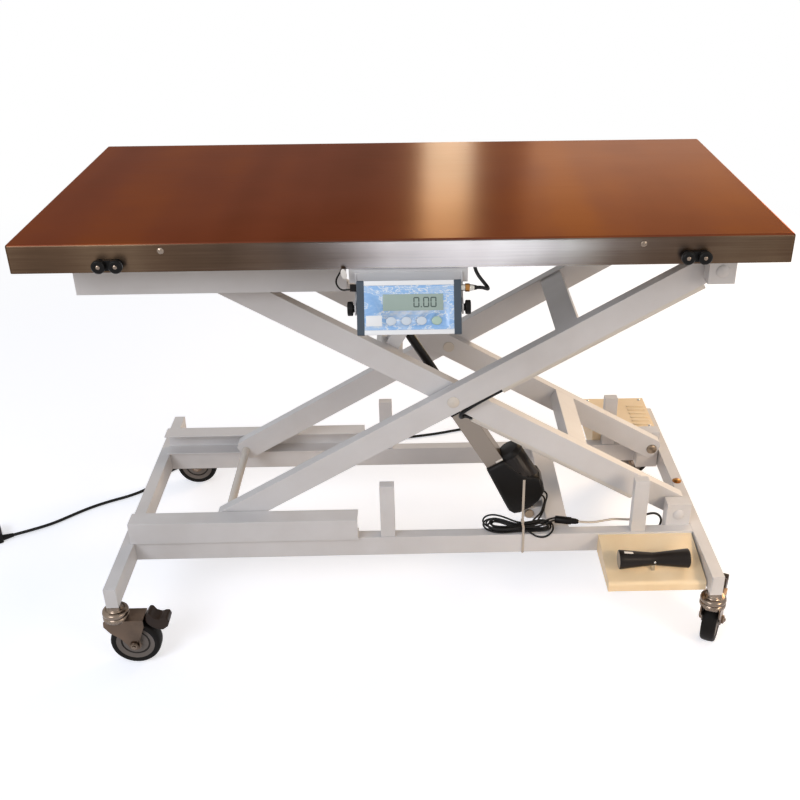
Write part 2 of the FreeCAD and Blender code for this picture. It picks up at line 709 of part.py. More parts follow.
centre_place = (centre_x, 0, centre_z)
outer_turn = (FreeCAD.Vector(0, 1, 0), -scissor_angle)
inner_turn = (FreeCAD.Vector(0, 1, 0), scissor_angle)
pin_bore = pin_radius + running_gap
outer_beam_at = dim("outer_beam_at", 266, "outer cross beam from the centre pivot")
outer_beam_low = dim("outer_beam_low", -3, "outer cross beam above the arm middle")
inner_beam_at = dim("inner_beam_at", 288, "inner cross beam from the centre pivot")

# outer arms: from the lower rollers up to the upper hinge blocks
outer = [arm("outer_arm_" + name, side, outer_arm_y, -lower_half, upper_half,
             [(-lower_half, pin_radius), (0, pin_radius), (upper_half, pin_bore)])
         for name, side in BOTH]
outer.append(across_box("outer_beam", outer_beam_at, beam_wide, outer_beam_low, beam_thick,
                        outer_arm_y))
node("outer_arms", *outer, place=centre_place, turn=outer_turn)

# inner arms: from the upper rollers down to the lower hinge blocks
inner = [arm("inner_arm_" + name, side, inner_arm_y, -upper_half, lower_half,
             [(-upper_half, pin_radius), (0, pin_bore), (lower_half, pin_bore)])
         for name, side in BOTH]
inner.append(across_box("inner_beam", inner_beam_at, beam_wide, 0, beam_thick, inner_arm_y))
node("inner_arms", *inner, place=centre_place, turn=inner_turn)

# centre pins: fixed in the outer arms, with a domed head outside and a washer inside
pins = []
washer = dim("washer", 3, "centre pin beyond the inner arm")
arm_play = dim("arm_play", 0.5, "centre pin washer off the arm")
for side_name, side in BOTH:
    pin = headed_pin("centre_pin_" + side_name, side, (size(0), size(0)), inner_arm_y - washer,
                     outer_arm_y + arm_wide, pin_radius)
    span = across(side, inner_arm_y - washer, inner_arm_y - arm_play)
    cap = rod("centre_washer_" + side_name, pin_radius + 3, (0, span[0], 0), washer - arm_play,
              "Y")
    pins.append(fuse("centre_pin_" + side_name, pin, cap))

# a shaft through both arms carries the rollers at each movable end
axle_end = dim("axle_end", 190, "half length of a roller shaft")
roller_near = dim("roller_near", 158, "inner face of a roller")
roller_far = dim("roller_far", 188, "outer face of a roller")
clip = 1.5


def shaft(name, place_x):
    bar = rod(name + "_bar", pin_radius, (place_x, -axle_end, 0), axle_end * 2, "Y")
    collars = [rod("%s_collar_%s" % (name, side_name), pin_radius + 4,
                   (place_x, across(side, axle_end, axle_end + clip)[0], 0), clip, "Y")
               for side_name, side in BOTH]
    return fuse(name, bar, *collars)


node("outer_arm_pins", shaft("lower_shaft", -lower_half), *pins, place=centre_place,
     turn=outer_turn)
node("upper_roller_shaft", shaft("upper_shaft", -upper_half), place=centre_place, turn=inner_turn)


def roller(name, side, place_x):
    near, far = across(side, roller_near, roller_far)
    profile = [(pin_bore, 0), (roller_radius - 1, 0), (roller_radius, 1),
               (roller_radius, roller_far - roller_near - 1),
               (roller_radius - 1, roller_far - roller_near), (pin_bore, roller_far - roller_near)]
    return turned(name, profile, (place_x, near, 0), "Y")


node("lower_rollers", *[roller("lower_roller_" + n, s, -lower_half) for n, s in BOTH],
     place=centre_place, turn=outer_turn)
node("upper_rollers", *[roller("upper_roller_" + n, s, -upper_half) for n, s in BOTH],
     place=centre_place, turn=inner_turn)

# cable ducts: half-round covers under the front arms
duct_radius = dim("duct_radius", 10, "cable duct half width")
duct_drop = dim("duct_drop", 14, "cable duct depth")


def duct(name, near, start, end):
    """A half-round cover on the underside of a front arm."""
    middle = -(near + arm_wide / 2)
    top = -arm_tall / 2
    flat = duct_drop - duct_radius
    body = plate(name, "YZ", [(middle - duct_radius, top), (middle - duct_radius, top - flat),
                              (middle - duct_radius * 0.707, top - flat - duct_radius * 0.707),
                              (middle, top - duct_drop),
                              (middle + duct_radius * 0.707, top - flat - duct_radius * 0.707),
                              (middle + duct_radius, top - flat), (middle + duct_radius, top)],
                 (start, end))
    return body


node("outer_cable_duct", duct("outer_duct", outer_arm_y, 95, 527), place=centre_place,
     turn=outer_turn)
node("inner_cable_duct", duct("inner_duct", inner_arm_y, 64, 459), place=centre_place,
     turn=inner_turn)

# lift beam between the inner arms, with the ears and the bolt that the push rod hangs on
top_pin_x = motor_pivot_x - actuator_reach * cosine(actuator_lean) - centre_x
top_pin_z = motor_pivot_z + actuator_reach * sine(actuator_lean) - centre_z
arm_pin_x = top_pin_x * cosine(scissor_angle) - top_pin_z * sine(scissor_angle)
arm_pin_z = top_pin_x * sine(scissor_angle) + top_pin_z * cosine(scissor_angle)
lift_beam_low = dim("lift_beam_low", -8, "lift beam above the arm middle")
beam_top = lift_beam_low + beam_thick
beam = across_box("lift_beam", arm_pin_x, beam_wide, lift_beam_low, beam_thick, inner_arm_y)
lift = [beam]
for side_name, side in BOTH:
    span = across(side, ear_gap, ear_gap + ear_thick)
    y_span = (actuator_y + span[0], actuator_y + span[1])
    round_end = rod("lift_ear_end_" + side_name, clevis_radius, (arm_pin_x, y_span[0], arm_pin_z),
                    ear_thick, "Y")
    web = box("lift_ear_web_" + side_name, (arm_pin_x - clevis_radius, arm_pin_x + clevis_radius),
              y_span, (beam_top, arm_pin_z))
    hole = rod("lift_ear_hole_" + side_name, clevis_pin, (arm_pin_x, y_span[0], arm_pin_z),
               ear_thick, "Y")
    lift.append(cut("lift_ear_" + side_name, fuse("lift_ear_" + side_name, round_end, web), hole))
    head = across(side, pin_half, head_half)
    lift.append(rod("lift_bolt_head_" + side_name, bolt_head,
                    (arm_pin_x, actuator_y + head[0], arm_pin_z), 4, "Y"))
lift.append(rod("lift_bolt", clevis_pin, (arm_pin_x, actuator_y - pin_half, arm_pin_z),
                pin_half * 2, "Y"))
node("lift_beam", *lift, place=centre_place, turn=inner_turn)


# ---------------------------------------------------------------- actuator
# own frame: origin on the lower pivot, X along the push rod, Z down and to the left

actuator_place = (motor_pivot_x, actuator_y, motor_pivot_z)
actuator_turn = (FreeCAD.Vector(0, 1, 0), -(180 - actuator_lean))
profile_half = profile_side / 2
profile_low = 60
mouth = 152
motor_at = 38
motor_radius = 27
case_half = 29

gear_case = plate("gear_case", "XZ", [(17, -14), (24, -38), (38, -58), (58, -65), (76, -65),
                                      (100, -40), (mouth, -22), (mouth, 22), (60, 31), (35, 33),
                                      (22, 27), (17, 14)], (-case_half, case_half),
                  round_by=8, round_if=lambda edge: not along(1)(edge))
motor = turned("motor", [(0, 0), (motor_radius, 0), (motor_radius, 98), (motor_radius - 5, 104),
                         (0, 106)], (58, 0, -motor_at), "X")
lug = box("motor_lug", (0, 30), (-lug_half, lug_half), (-11, 11))
lug_end = rod("motor_lug_end", 11, (0, -lug_half, 0), lug_half * 2, "Y")
lug_hole = rod("motor_lug_hole", clevis_pin + running_gap, (0, -20, 0), 40, "Y")
beyond_motor = 166
profile_room = box("profile_room", (profile_low, beyond_motor), (-profile_half, profile_half),
                   (-profile_half, profile_half))
node("actuator_housing", cut("housing", fuse("housing", gear_case, motor, lug, lug_end),
                             lug_hole, profile_room),
     place=actuator_place, turn=actuator_turn)

node("actuator_profile", hollow("profile", (size(profile_low), profile_top),
                                (-profile_half, profile_half), (-profile_half, profile_half),
                                profile_wall, 0),
     place=actuator_place, turn=actuator_turn)

rod_start = actuator_reach - rod_length
push_rod = rod("push_rod", rod_radius, (rod_start, 0, 0), rod_length - 11, "X")
eye = rod("rod_eye", 13, (actuator_reach, -lug_half, 0), lug_half * 2, "Y")
eye_hole = rod("rod_eye_hole", clevis_pin + running_gap, (actuator_reach, -20, 0), 40, "Y")
node("actuator_rod", cut("rod", fuse("rod", push_rod, eye), eye_hole), place=actuator_place,
     turn=actuator_turn)


# ---------------------------------------------------------------- moving top

# the stainless top: a folded pan with rounded corners and a folded-in lower edge
half_length = top_length / 2
half_width = top_width / 2
pan_outside = rounded("pan", box("pan_block", (-half_length, half_length),
                                 (-half_width, half_width),
                                 (top_height - skirt_depth, top_height)), top_edge,
                      lambda edge: along(2)(edge) or edge.CenterOfMass.z > top_height.value - 1)
fold = dim("fold", 3, "doubled lower edge of the skirt")
fold_tall = dim("fold_tall", 10, "height of the doubled edge")
skirt_low = top_height - skirt_depth
pan_room = box("pan_room", (-half_length + top_sheet, half_length - top_sheet),
               (-half_width + top_sheet, half_width - top_sheet),
               (skirt_low + fold_tall, under_sheet))
pan_mouth = box("pan_mouth", (-half_length + fold, half_length - fold),
                (-half_width + fold, half_width - fold), (skirt_low - 1, skirt_low + fold_tall))
node("table_top", cut("pan", pan_outside, pan_room, pan_mouth))

# stiffeners under the sheet, carried by the load cells
cell_x = dim("cell_x", 450, "load cells, X")
cell_low = dim("cell_low", 833, "load cell underside")
cell_high = dim("cell_high", 855, "load cell top")
stiff_low = cell_high + 2
stiff_y = dim("stiff_y", 240, "long stiffeners, Y")
stiffeners = []
for end_name, end in (("left", -1), ("right", 1)):
    x_span = (end * cell_x - 20, end * cell_x + 20)
    stiffeners.append(hollow("stiffener_" + end_name, x_span, (-290, 290),
                             (stiff_low, under_sheet), top_sheet, 1))
for side_name, side in BOTH:
    stiffeners.append(hollow("stiffener_" + side_name, (-cell_x + 20, cell_x - 20),
                             across(side, stiff_y - 20, stiff_y + 20),
                             (stiff_low, under_sheet), top_sheet, 0))
node("top_stiffeners", *stiffeners)

# load cells: a bar held on the rail at one end and under the stiffener at the other
cells = []
for end_name, end in (("left", -1), ("right", 1)):
    for side_name, side in BOTH:
        name = "cell_%s_%s" % (end_name, side_name)
        near, far = across(side, rail_inner, rail_inner + 127)
        middle = side * (rail_inner + 63.5)
        bar = plate(name, "YZ", [(near, cell_low), (far, cell_low), (far, cell_high),
                                 (near, cell_high)], (end * cell_x - 15, end * cell_x + 15),
                    holes=[(middle - 12, (cell_low + cell_high) / 2, 7),
                           (middle + 12, (cell_low + cell_high) / 2, 7)])
        foot = box(name + "_foot", (end * cell_x - 15, end * cell_x + 15),
                   across(side, rail_inner, rail_outer), (upper_rail_top, cell_low))
        pad_piece = box(name + "_pad", (end * cell_x - 15, end * cell_x + 15),
                        across(side, rail_inner + 100, rail_inner + 127), (cell_high, stiff_low))
        cells.append(fuse(name, bar, foot, pad_piece))
node("load_cells", *cells)

# upper frame: two rails and three cross tubes
upper_left = dim("upper_left", -592, "upper rails, left end")
upper_right = dim("upper_right", 604, "upper rails, right end")
upper = []
for side_name, side in BOTH:
    upper.append(hollow("upper_rail_" + side_name, (upper_left, upper_right),
                        across(side, rail_inner, rail_outer),
                        (upper_rail_low, upper_rail_top), tube_wall, 0))
cross_clear = dim("cross_clear", 6, "upper cross tubes above the rails' underside")
for tube_name, tube_at in (("left", -560), ("middle", 60), ("right", 430)):
    upper.append(hollow("upper_cross_" + tube_name, (size(tube_at - 20), size(tube_at + 20)),
                        (-rail_inner, rail_inner), (upper_rail_low + cross_clear, upper_rail_top),
                        tube_wall, 1))
node("upper_frame", *upper)

upper_track_right = dim("upper_track_right", -105, "upper tracks, right end")
node("upper_tracks", *[track("upper_track_" + name, side, (upper_left, upper_track_right),
                             upper_rail_low - track_tall) for name, side in BOTH])

upper_block_in = dim("upper_block_in", 160, "inner face of the upper hinge blocks")
upper_block_out = dim("upper_block_out", 190, "outer face of the upper hinge blocks")
upper_blocks = []
for side_name, side in BOTH:
    upper_blocks.append(block_half("upper_block_" + side_name, side, upper_pivot_x,
                                   upper_block_in, upper_block_out, upper_rail_low - track_tall,
                                   upper_rail_low, (upper_pivot_x, upper_pivot_z)))
    upper_blocks.append(headed_pin("upper_pin_" + side_name, side,
                                   (upper_pivot_x, upper_pivot_z), outer_arm_y, upper_block_out,
                                   pin_radius))
node("upper_hinge_blocks", *upper_blocks)

# dome screws and leash cleats on both long skirts
screw_x = dim("screw_x", 397.5, "skirt screws, X")
screw_z = dim("screw_z", 867.5, "skirt screws, Z")
cleat_x = dim("cleat_x", 485, "leash cleats, X")
cleat_z = dim("cleat_z", 846, "leash cleats, Z")
cleat_pitch = dim("cleat_pitch", 28, "between the two lobes of a cleat")
cleat_radius = dim("cleat_radius", 11.5, "leash cleat lobe radius")
cleat_screw = dim("cleat_screw", 4, "leash cleat screw radius")


def on_skirt(piece, side, x, z):
    """Turn a piece so that its own +Z points out of the front or back skirt."""
    turn = FACING_FRONT if side < 0 else AXIS_TURNS["Y"]
    piece.Placement = FreeCAD.Placement(FreeCAD.Vector(), turn)
    return stand(piece, (x, side * half_width, z))


screws = []
cleats = []
for side_name, side in BOTH:
    for end_name, end in (("left", -1), ("right", 1)):
        name = "%s_%s" % (side_name, end_name)
        screws.append(on_skirt(turned("skirt_screw_" + name, [(0, 0), (5.5, 0), (5.5, 1, "dome"),
                                                              (0, 3)]), side, end * screw_x,
                               screw_z))
        bridge = box("cleat_bridge_" + name, (end * cleat_x - 8, end * cleat_x + 8),
                     across(side, half_width, half_width + 9), (cleat_z - 9, cleat_z + 9))
        lobes = []
        for lobe_name, lobe in (("a", -0.5), ("b", 0.5)):
            lobe_x = end * cleat_x + lobe * cleat_pitch
            lobes.append(on_skirt(turned("cleat_%s_%s" % (name, lobe_name),
                                         [(cleat_screw, 0), (cleat_radius - 2, 0),
                                          (cleat_radius - 4.5, 5), (cleat_radius - 1, 8),
                                          (cleat_radius, 10), (cleat_radius, 16),
                                          (cleat_radius - 2, 18), (cleat_screw, 18)]),
                                  side, lobe_x, cleat_z))
            screws.append(on_skirt(turned("cleat_screw_%s_%s" % (name, lobe_name),
                                          [(0, 0), (cleat_screw, 0), (cleat_screw, 17, "dome"),
                                           (0, 18.5)]), side, lobe_x, cleat_z))
        cleats.append(fuse("cleat_" + name, bridge, *lobes))
node("skirt_screws", *screws)
node("leash_cleats", *cleats)

# bracket of the display: a plate behind the front skirt and a yoke with two ears
hang_left = dim("hang_left", -92, "display bracket left side")
hang_right = dim("hang_right", 107, "display bracket right side")
hang_low = dim("hang_low", 804, "display bracket lower edge")
socket_low = dim("socket_low", 852, "underside of the display cable sockets")
hang_y = -(half_width - fold)
hang_plate = box("hang_plate", (hang_left, hang_right), (hang_y, hang_y + 2),
                 (hang_low, under_sheet))
hang_flange = box("hang_flange", (hang_left, hang_right), (hang_y + 2, hang_y + 24),
                  (under_sheet - 2, under_sheet))
ear_x = case_length / 2 + 1
yoke_strap = box("yoke_strap", (case_x - ear_x - 3, case_x + ear_x + 3), (hang_y - 3, hang_y),
                 (808, 824))
yoke_ears = []
for end_name, end in (("left", -1), ("right", 1)):
    middle = case_x + end * (ear_x + 1.5)
    ear = plate("yoke_ear_" + end_name, "YZ",
                [(hang_y - 3, 808), (hang_y - 3, 824), (hang_y - 9.5, 797),
                 (case_y + 12.5, case_z + 11), (case_y - 8, case_z + 9), (case_y - 10, case_z),
                 (case_y - 8, case_z - 9), (case_y + 8, case_z - 9)],
                (middle - 1.5, middle + 1.5), holes=[(case_y, case_z, 3)])
    yoke_ears.append(ear)
sockets = [box("socket_" + name, x, (-312, -288), (socket_low, under_sheet))
           for name, x in (("left", (-112, hang_left)), ("right", (hang_right, 129)))]
node("display_bracket", fuse("hang", hang_plate, hang_flange),
     fuse("yoke", yoke_strap, *yoke_ears), *sockets)


# ---------------------------------------------------------------- weighing display
# own frame: origin on the tilt axis, X along the case, -Y out of its face

display_place = (case_x, case_y, case_z)
display_turn = (FreeCAD.Vector(1, 0, 0), -case_tilt)
half_case = case_length / 2
half_tall = case_tall / 2
half_deep = case_deep / 2
cap_wide = 12
face_y = -half_deep

extrusion = rounded("extrusion", box("extrusion_block", (-half_case + cap_wide,
                                                         half_case - cap_wide),
                                     (-half_deep, half_deep), (-half_tall + 1, half_tall - 1)),
                    3, along(0))
key_radius = 7.5
key_z = -23
key_back = face_y + 1.8
keys = {"zero": -30, "tare": -5, "hold": 20, "power": 45}
pockets = [rod("key_pocket_" + name, key_radius + 0.3, (at, face_y - 1, key_z), 4, "Y")
           for name, at in keys.items()]
caps = []
for end_name, end in (("left", -1), ("right", 1)):
    x_span = (-half_case, cap_wide - half_case) if end < 0 else (half_case - cap_wide, half_case)
    cap = rounded("cap_" + end_name, box("cap_block_" + end_name, x_span,
                                         (-half_deep - 1, half_deep + 1),
                                         (-half_tall, half_tall)), 3, along(0))
    caps.append(cap)
node("display_case", cut("case", extrusion, *pockets), *caps, place=display_place,
     turn=display_turn)

for name, at in keys.items():
    key = turned("key_" + name, [(0, 0), (key_radius, 0), (key_radius, 2, "dome"), (0, 2.8)])
    key.Placement = FreeCAD.Placement(FreeCAD.Vector(), FACING_FRONT)
    node("display_key_" + name, stand(key, (at, key_back, key_z)), place=display_place,
         turn=display_turn)

# knobs that clamp the case in its yoke
knob_gap = ear_x + 3
knobs = []
for end_name, end in (("left", -1), ("right", 1)):
    knob = turned("knob_" + end_name, [(0, -3.8), (3 - running_gap, -3.8), (3 - running_gap, 0),
                                       (6, 0.2), (6, 2), (11, 3), (12, 4), (12, 11), (11, 12),
                                       (0, 12)], axis="X")
    if end < 0:
        knob.Placement = FreeCAD.Placement(FreeCAD.Vector(),
                                           FreeCAD.Rotation(FreeCAD.Vector(0, 1, 0), -90))
    knobs.append(stand(knob, (end * knob_gap, 0, 0)))
node("display_knobs", *knobs, place=display_place, turn=display_turn)

# plugs on the display: a metal screw plug on the right, a moulded one on the left
plug_z = 32
right_plug = turned("right_plug", [(0, 0), (5.5, 0), (5.5, 7), (7, 7), (7, 14), (5.5, 15),
                                   (4.5, 22), (3.2, 27), (0, 27)],
                    (half_case, -3, plug_z), "X")
left_plug = box("left_plug", (-half_case - 11, -half_case), (-9, 5), (plug_z - 4, plug_z + 8))
node("display_plugs", right_plug, left_plug, place=display_place, turn=display_turn)


# ---------------------------------------------------------------- cords

cord_radius = dim("cord_radius", 3.75, "mains cord radius")
thin_radius = dim("thin_radius", 2.5, "low-voltage cable radius")
loop_radius = dim("loop_radius", 4, "radius of the cable in the ducts")
motor_cable_radius = dim("motor_cable_radius", 2, "radius of the motor's two cables")
signal_radius = dim("signal_radius", 3, "radius of the display's right cable")
wire_radius = dim("wire_radius", 1.5, "radius of the display's left wire")

# mains cord: out of the control box, down behind the table, away to the left and round
# the back caster's sweep to the angled plug
pipe("mains_cord", cord_radius, [
    (470, 360, 158), (470, 390, 158), (470, 422, 142), (466, 448, 112), (458, 468, 78),
    (446, 490, 45), (425, 516, 18), (390, 540, 5), (344, 560, 4), (292, 572, 4), (236, 575, 4),
    (184, 568, 4), (132, 556, 4), (78, 538, 4), (20, 525, 4), (-44, 514, 4), (-112, 502, 4),
    (-184, 488, 4), (-258, 468, 4), (-330, 446, 4), (-398, 424, 4), (-462, 408, 4),
    (-520, 403, 4), (-572, 404, 4), (-618, 391, 4), (-647, 360, 4), (-660, 322, 4),
    (-680, 284, 4), (-717, 254, 4), (-764, 231, 4), (-806, 204, 4), (-842, 172, 4),
    (-876, 139, 5), (-916.381, 110.871, 7.4), (-955.029, 92.021, 7.4)])
plug_body = rounded("plug", box("plug_body", (-26, 0), (-12, 42), (0.2, 26)), 5, along(2))
plug_relief = turned("plug_relief", [(0, 0), (7.2, 0), (4.6, 24), (0, 24)], (0, 0, 7.4), "X")
plug_pins = [rod("plug_pin_%s" % name, 2.4, (x, 42, 13), 18, "Y")
             for name, x in (("a", -22.5), ("b", -3.5))]
node("mains_plug", plug_body, plug_relief, *plug_pins, place=(-976.6, 81.5, 0),
     turn=(FreeCAD.Vector(0, 0, 1), 26))

# hank of the motor's cables on the front rail: wide loops on the left, narrow at its tie, one
# turn hanging over the rail's front edge
hank_tall = 16
hank_outline = [(149, -158), (150, -146), (160, -133), (180, -129), (205, -139), (232, -158),
                (290, -150), (306.7, -143.2), (303.3, -158.8), (290, -172), (262, -183),
                (232, -183), (205, -187), (180, -187.6), (158, -176)]
hank_turns = plate("hank_turns", "XY", hank_outline, (rail_top, rail_top + hank_tall))
hank_over = box("hank_over", (240, 292), (-192.2, -180), (rail_top + 1, rail_top + 6))
hank_drop = box("hank_drop", (240, 292), (-192.2, -188.3), (174, rail_top + 6))
node("cable_hank", fuse("hank", hank_turns, hank_over, hank_drop))
tie_y = (-rail_outer - 1.4, -155.8)
tie_z = (floor_gap - 1.4, rail_top + hank_tall + 1.6)
tie_band = cut("tie", box("tie_outside", (232, 237), tie_y, tie_z),
               box("tie_inside", (231, 238), (tie_y[0] + 1.2, tie_y[1] - 1.2),
                   (tie_z[0] + 1.2, tie_z[1] - 1.2)))
tie_head = box("tie_head", (231, 238), (-172, -165), (tie_z[1], tie_z[1] + 4))
tie_tail = box("tie_tail", (232, 237), (-169, -168), (tie_z[1] + 4, tie_z[1] + 105))
node("cable_tie", fuse("tie", tie_band, tie_head, tie_tail))

# inline connector at the hank's right end: a moulded body and its strain relief
node("inline_connector", turned("connector", [(0, 0), (7, 0), (8, 2), (8, 34), (6.5, 35),
                                              (6, 44), (4, 50), (0, 50)], axis="X"),
     place=(305, -151, 196), turn=(FreeCAD.Vector(0, 0, 1), -12))

# two cables from the actuator's housing down to the hank
pipe("motor_cable", motor_cable_radius, [
    (287.62, -72, 215.89), (291.6, -72, 214.1), (295.2, -74.2, 211.3), (297, -78, 208.5),
    (295.8, -84.4, 205.4), (292.2, -93, 202.2), (289.2, -103, 198.8), (286.2, -113.4, 195.8),
    (282, -123.6, 193.6), (276.4, -133, 192.4), (269.6, -140.2, 192), (265.08, -146.67, 192),
    (266, -153.31, 192)])
pipe("motor_cable_second", motor_cable_radius, [
    (283.2, -72, 205.46), (286.9, -72, 203.8), (290.5, -74.2, 201.1), (292.3, -78, 198.3),
    (291.4, -84.4, 196), (288.4, -93, 194.2), (285, -103, 192.2), (281.6, -113, 190.8),
    (276.6, -122.6, 190.2), (269.6, -131, 190.4), (260.4, -137.4, 191), (252.6, -145.07, 191),
    (254, -154.97, 191)])

# cable from the hank's connector, under the front rail and up to the foot switch
pipe("pedal_cable", thin_radius, [
    (353.9, -161.4, 196), (368.6, -164.5, 196), (386, -165.5, 196.5), (406, -161.5, 197.5),
    (428, -155.5, 197), (449, -152, 193), (470, -151, 191), (488, -151, 198), (504, -152, 207),
    (520, -153, 208), (531, -154, 196), (530, -155, 180), (522, -156, 164), (513, -157, 149),
    (505, -157, 134), (500, -162, 121), (497, -174, 114), (493, -190, 113), (489, -206, 116),
    (487, -220, 121), (486, -231, 130), (486, -235, 140), (486, -235, 150)])

# cable from one arm's duct to the other's, in a tight loop at the centre pivot
pipe("centre_loop", loop_radius, [
    (187.7, -140.5, 503.8), (170.4, -140.5, 493.8), (152, -140.5, 483.2), (135.5, -139, 472),
    (121, -136, 460), (108, -133, 449), (104, -127, 437), (107, -118, 429),
    (116.7, -112.5, 431.3), (128.8, -112.5, 424.3)])

# display cables, under the edge of the top and up to their sockets
pipe("display_cable_right", signal_radius, [
    (121, -343.17, 805.08), (128, -343.17, 805.08), (134.6, -341.6, 802.6),
    (139, -337.2, 799.4), (140.4, -330.8, 797.8), (138.8, -324.2, 798.8), (135, -318.2, 802),
    (130.2, -312.6, 806.4), (125.2, -307.6, 811.8), (121, -303.4, 818.8), (118.6, -300.8, 827.5),
    (118, -300, 837.5), (118, -300, 852)])
pipe("display_cable_left", wire_radius, [
    (-89, -341.4, 804), (-94, -341.4, 804), (-99, -340.4, 802.4), (-104, -337.6, 802.2),
    (-108.4, -333.4, 804), (-112, -328, 807.2), (-113.4, -321.6, 811), (-112, -315, 814.6),
    (-108.6, -309.4, 818.6), (-105, -304.8, 823.8), (-102.8, -301.4, 830.6), (-102, -300, 839),
    (-102, -300, 852)])


# ---------------------------------------------------------------- check and write

doc.recompute()
faults = [thing.Name for thing in doc.Objects if "Invalid" in thing.State or "Error" in thing.State]
for piece in nodes:
    if piece.Shape.isNull() or not piece.Shape.isValid():
        faults.append(piece.Label)
if faults:
    raise SystemExit("failed: " + ", ".join(faults))

os.makedirs("parts", exist_ok=True)
for piece in nodes:
    piece.Shape.exportStep("parts/%s.step" % piece.Label)
print(len(nodes), "parts written")
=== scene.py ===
import json
import math

import bpy
from mathutils import Matrix, Vector


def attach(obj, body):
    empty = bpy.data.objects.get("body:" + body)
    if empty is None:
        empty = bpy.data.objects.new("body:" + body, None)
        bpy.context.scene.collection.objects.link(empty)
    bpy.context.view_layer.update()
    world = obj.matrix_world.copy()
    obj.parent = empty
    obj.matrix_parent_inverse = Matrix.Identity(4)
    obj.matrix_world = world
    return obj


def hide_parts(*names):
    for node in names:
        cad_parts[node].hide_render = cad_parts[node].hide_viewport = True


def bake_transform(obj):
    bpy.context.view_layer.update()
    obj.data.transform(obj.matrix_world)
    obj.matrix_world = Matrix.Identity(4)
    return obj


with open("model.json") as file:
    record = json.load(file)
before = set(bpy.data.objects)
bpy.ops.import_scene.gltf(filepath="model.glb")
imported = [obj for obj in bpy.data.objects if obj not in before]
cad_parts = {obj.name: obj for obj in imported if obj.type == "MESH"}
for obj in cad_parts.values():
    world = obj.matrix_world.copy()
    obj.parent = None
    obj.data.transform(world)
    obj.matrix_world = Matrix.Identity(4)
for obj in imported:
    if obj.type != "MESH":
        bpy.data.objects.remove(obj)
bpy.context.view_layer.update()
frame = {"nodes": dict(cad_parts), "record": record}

# ------------------------------------------------------------------ room
# A pale floor that fades to plain white further off. Soft lamps stand in front of the table and
# at its back right; one before it and two behind light the brushed sheet alone.

scene = bpy.context.scene
scene.view_settings.view_transform = "Standard"

camera = bpy.data.objects.new("camera", bpy.data.cameras.new("camera"))
scene.collection.objects.link(camera)
scene.camera = camera
camera.location = (0.0124, -1.8504, 1.4298)
camera.rotation_euler = [math.radians(turn) for turn in (61.943, 0.388, -1.4085)]
camera.data.lens = 44.64
camera.data.sensor_width = 36
camera.data.shift_x = -0.0449
camera.data.shift_y = -0.0146
camera.data.clip_start = 0.05


def linear(code):
    """An sRGB hex colour as linear RGBA."""
    parts = [int(code[i:i + 2], 16) / 255 for i in (1, 3, 5)]
    return [c / 12.92 if c <= 0.04045 else ((c + 0.055) / 1.055) ** 2.4 for c in parts] + [1.0]


def add(tree, kind, settings=None, **inputs):
    """Adds a node; each input named gets a number, colour or output, i0 being the first."""
    node = tree.nodes.new(kind)
    for name, value in (settings or {}).items():
        if name == "stops":
            ramp = node.color_ramp.elements
            while len(ramp) < len(value):
                ramp.new(0.5)
            for element, (position, code) in zip(ramp, value):
                element.position = position
                element.color = linear(code)
        else:
            setattr(node, name, value)
    for name, value in inputs.items():
        key = int(name[1:]) if name[1:].isdigit() else name.replace("_", " ")
        socket = node.inputs[key]
        if isinstance(value, bpy.types.NodeSocket):
            tree.links.new(value, socket)
        else:
            socket.default_value = value
    return node


def empty_tree(owner):
    owner.use_nodes = True
    owner.node_tree.nodes.clear()
    return owner.node_tree


def looked_at(tree):
    """1 for what is seen directly, in a mirror or through glass; 0 for what only lights."""
    ray = add(tree, "ShaderNodeLightPath")
    mirrored = add(tree, "ShaderNodeMath", {"operation": "MAXIMUM"},
                   i0=ray.outputs["Is Glossy Ray"], i1=ray.outputs["Is Transmission Ray"])
    seen = add(tree, "ShaderNodeMath", {"operation": "MAXIMUM"},
               i0=ray.outputs["Is Camera Ray"], i1=mirrored.outputs[0])
    return seen.outputs[0]


world = bpy.data.worlds.new("room")
scene.world = world
room = empty_tree(world)
dim = add(room, "ShaderNodeBackground", Color=linear("#F5F7FC"), Strength=0.44)
bright = add(room, "ShaderNodeBackground", Color=linear("#FFFFFF"), Strength=1.0)
both = add(room, "ShaderNodeMixShader", i0=looked_at(room), i1=dim.outputs[0],
           i2=bright.outputs[0])
add(room, "ShaderNodeOutputWorld", Surface=both.outputs[0])

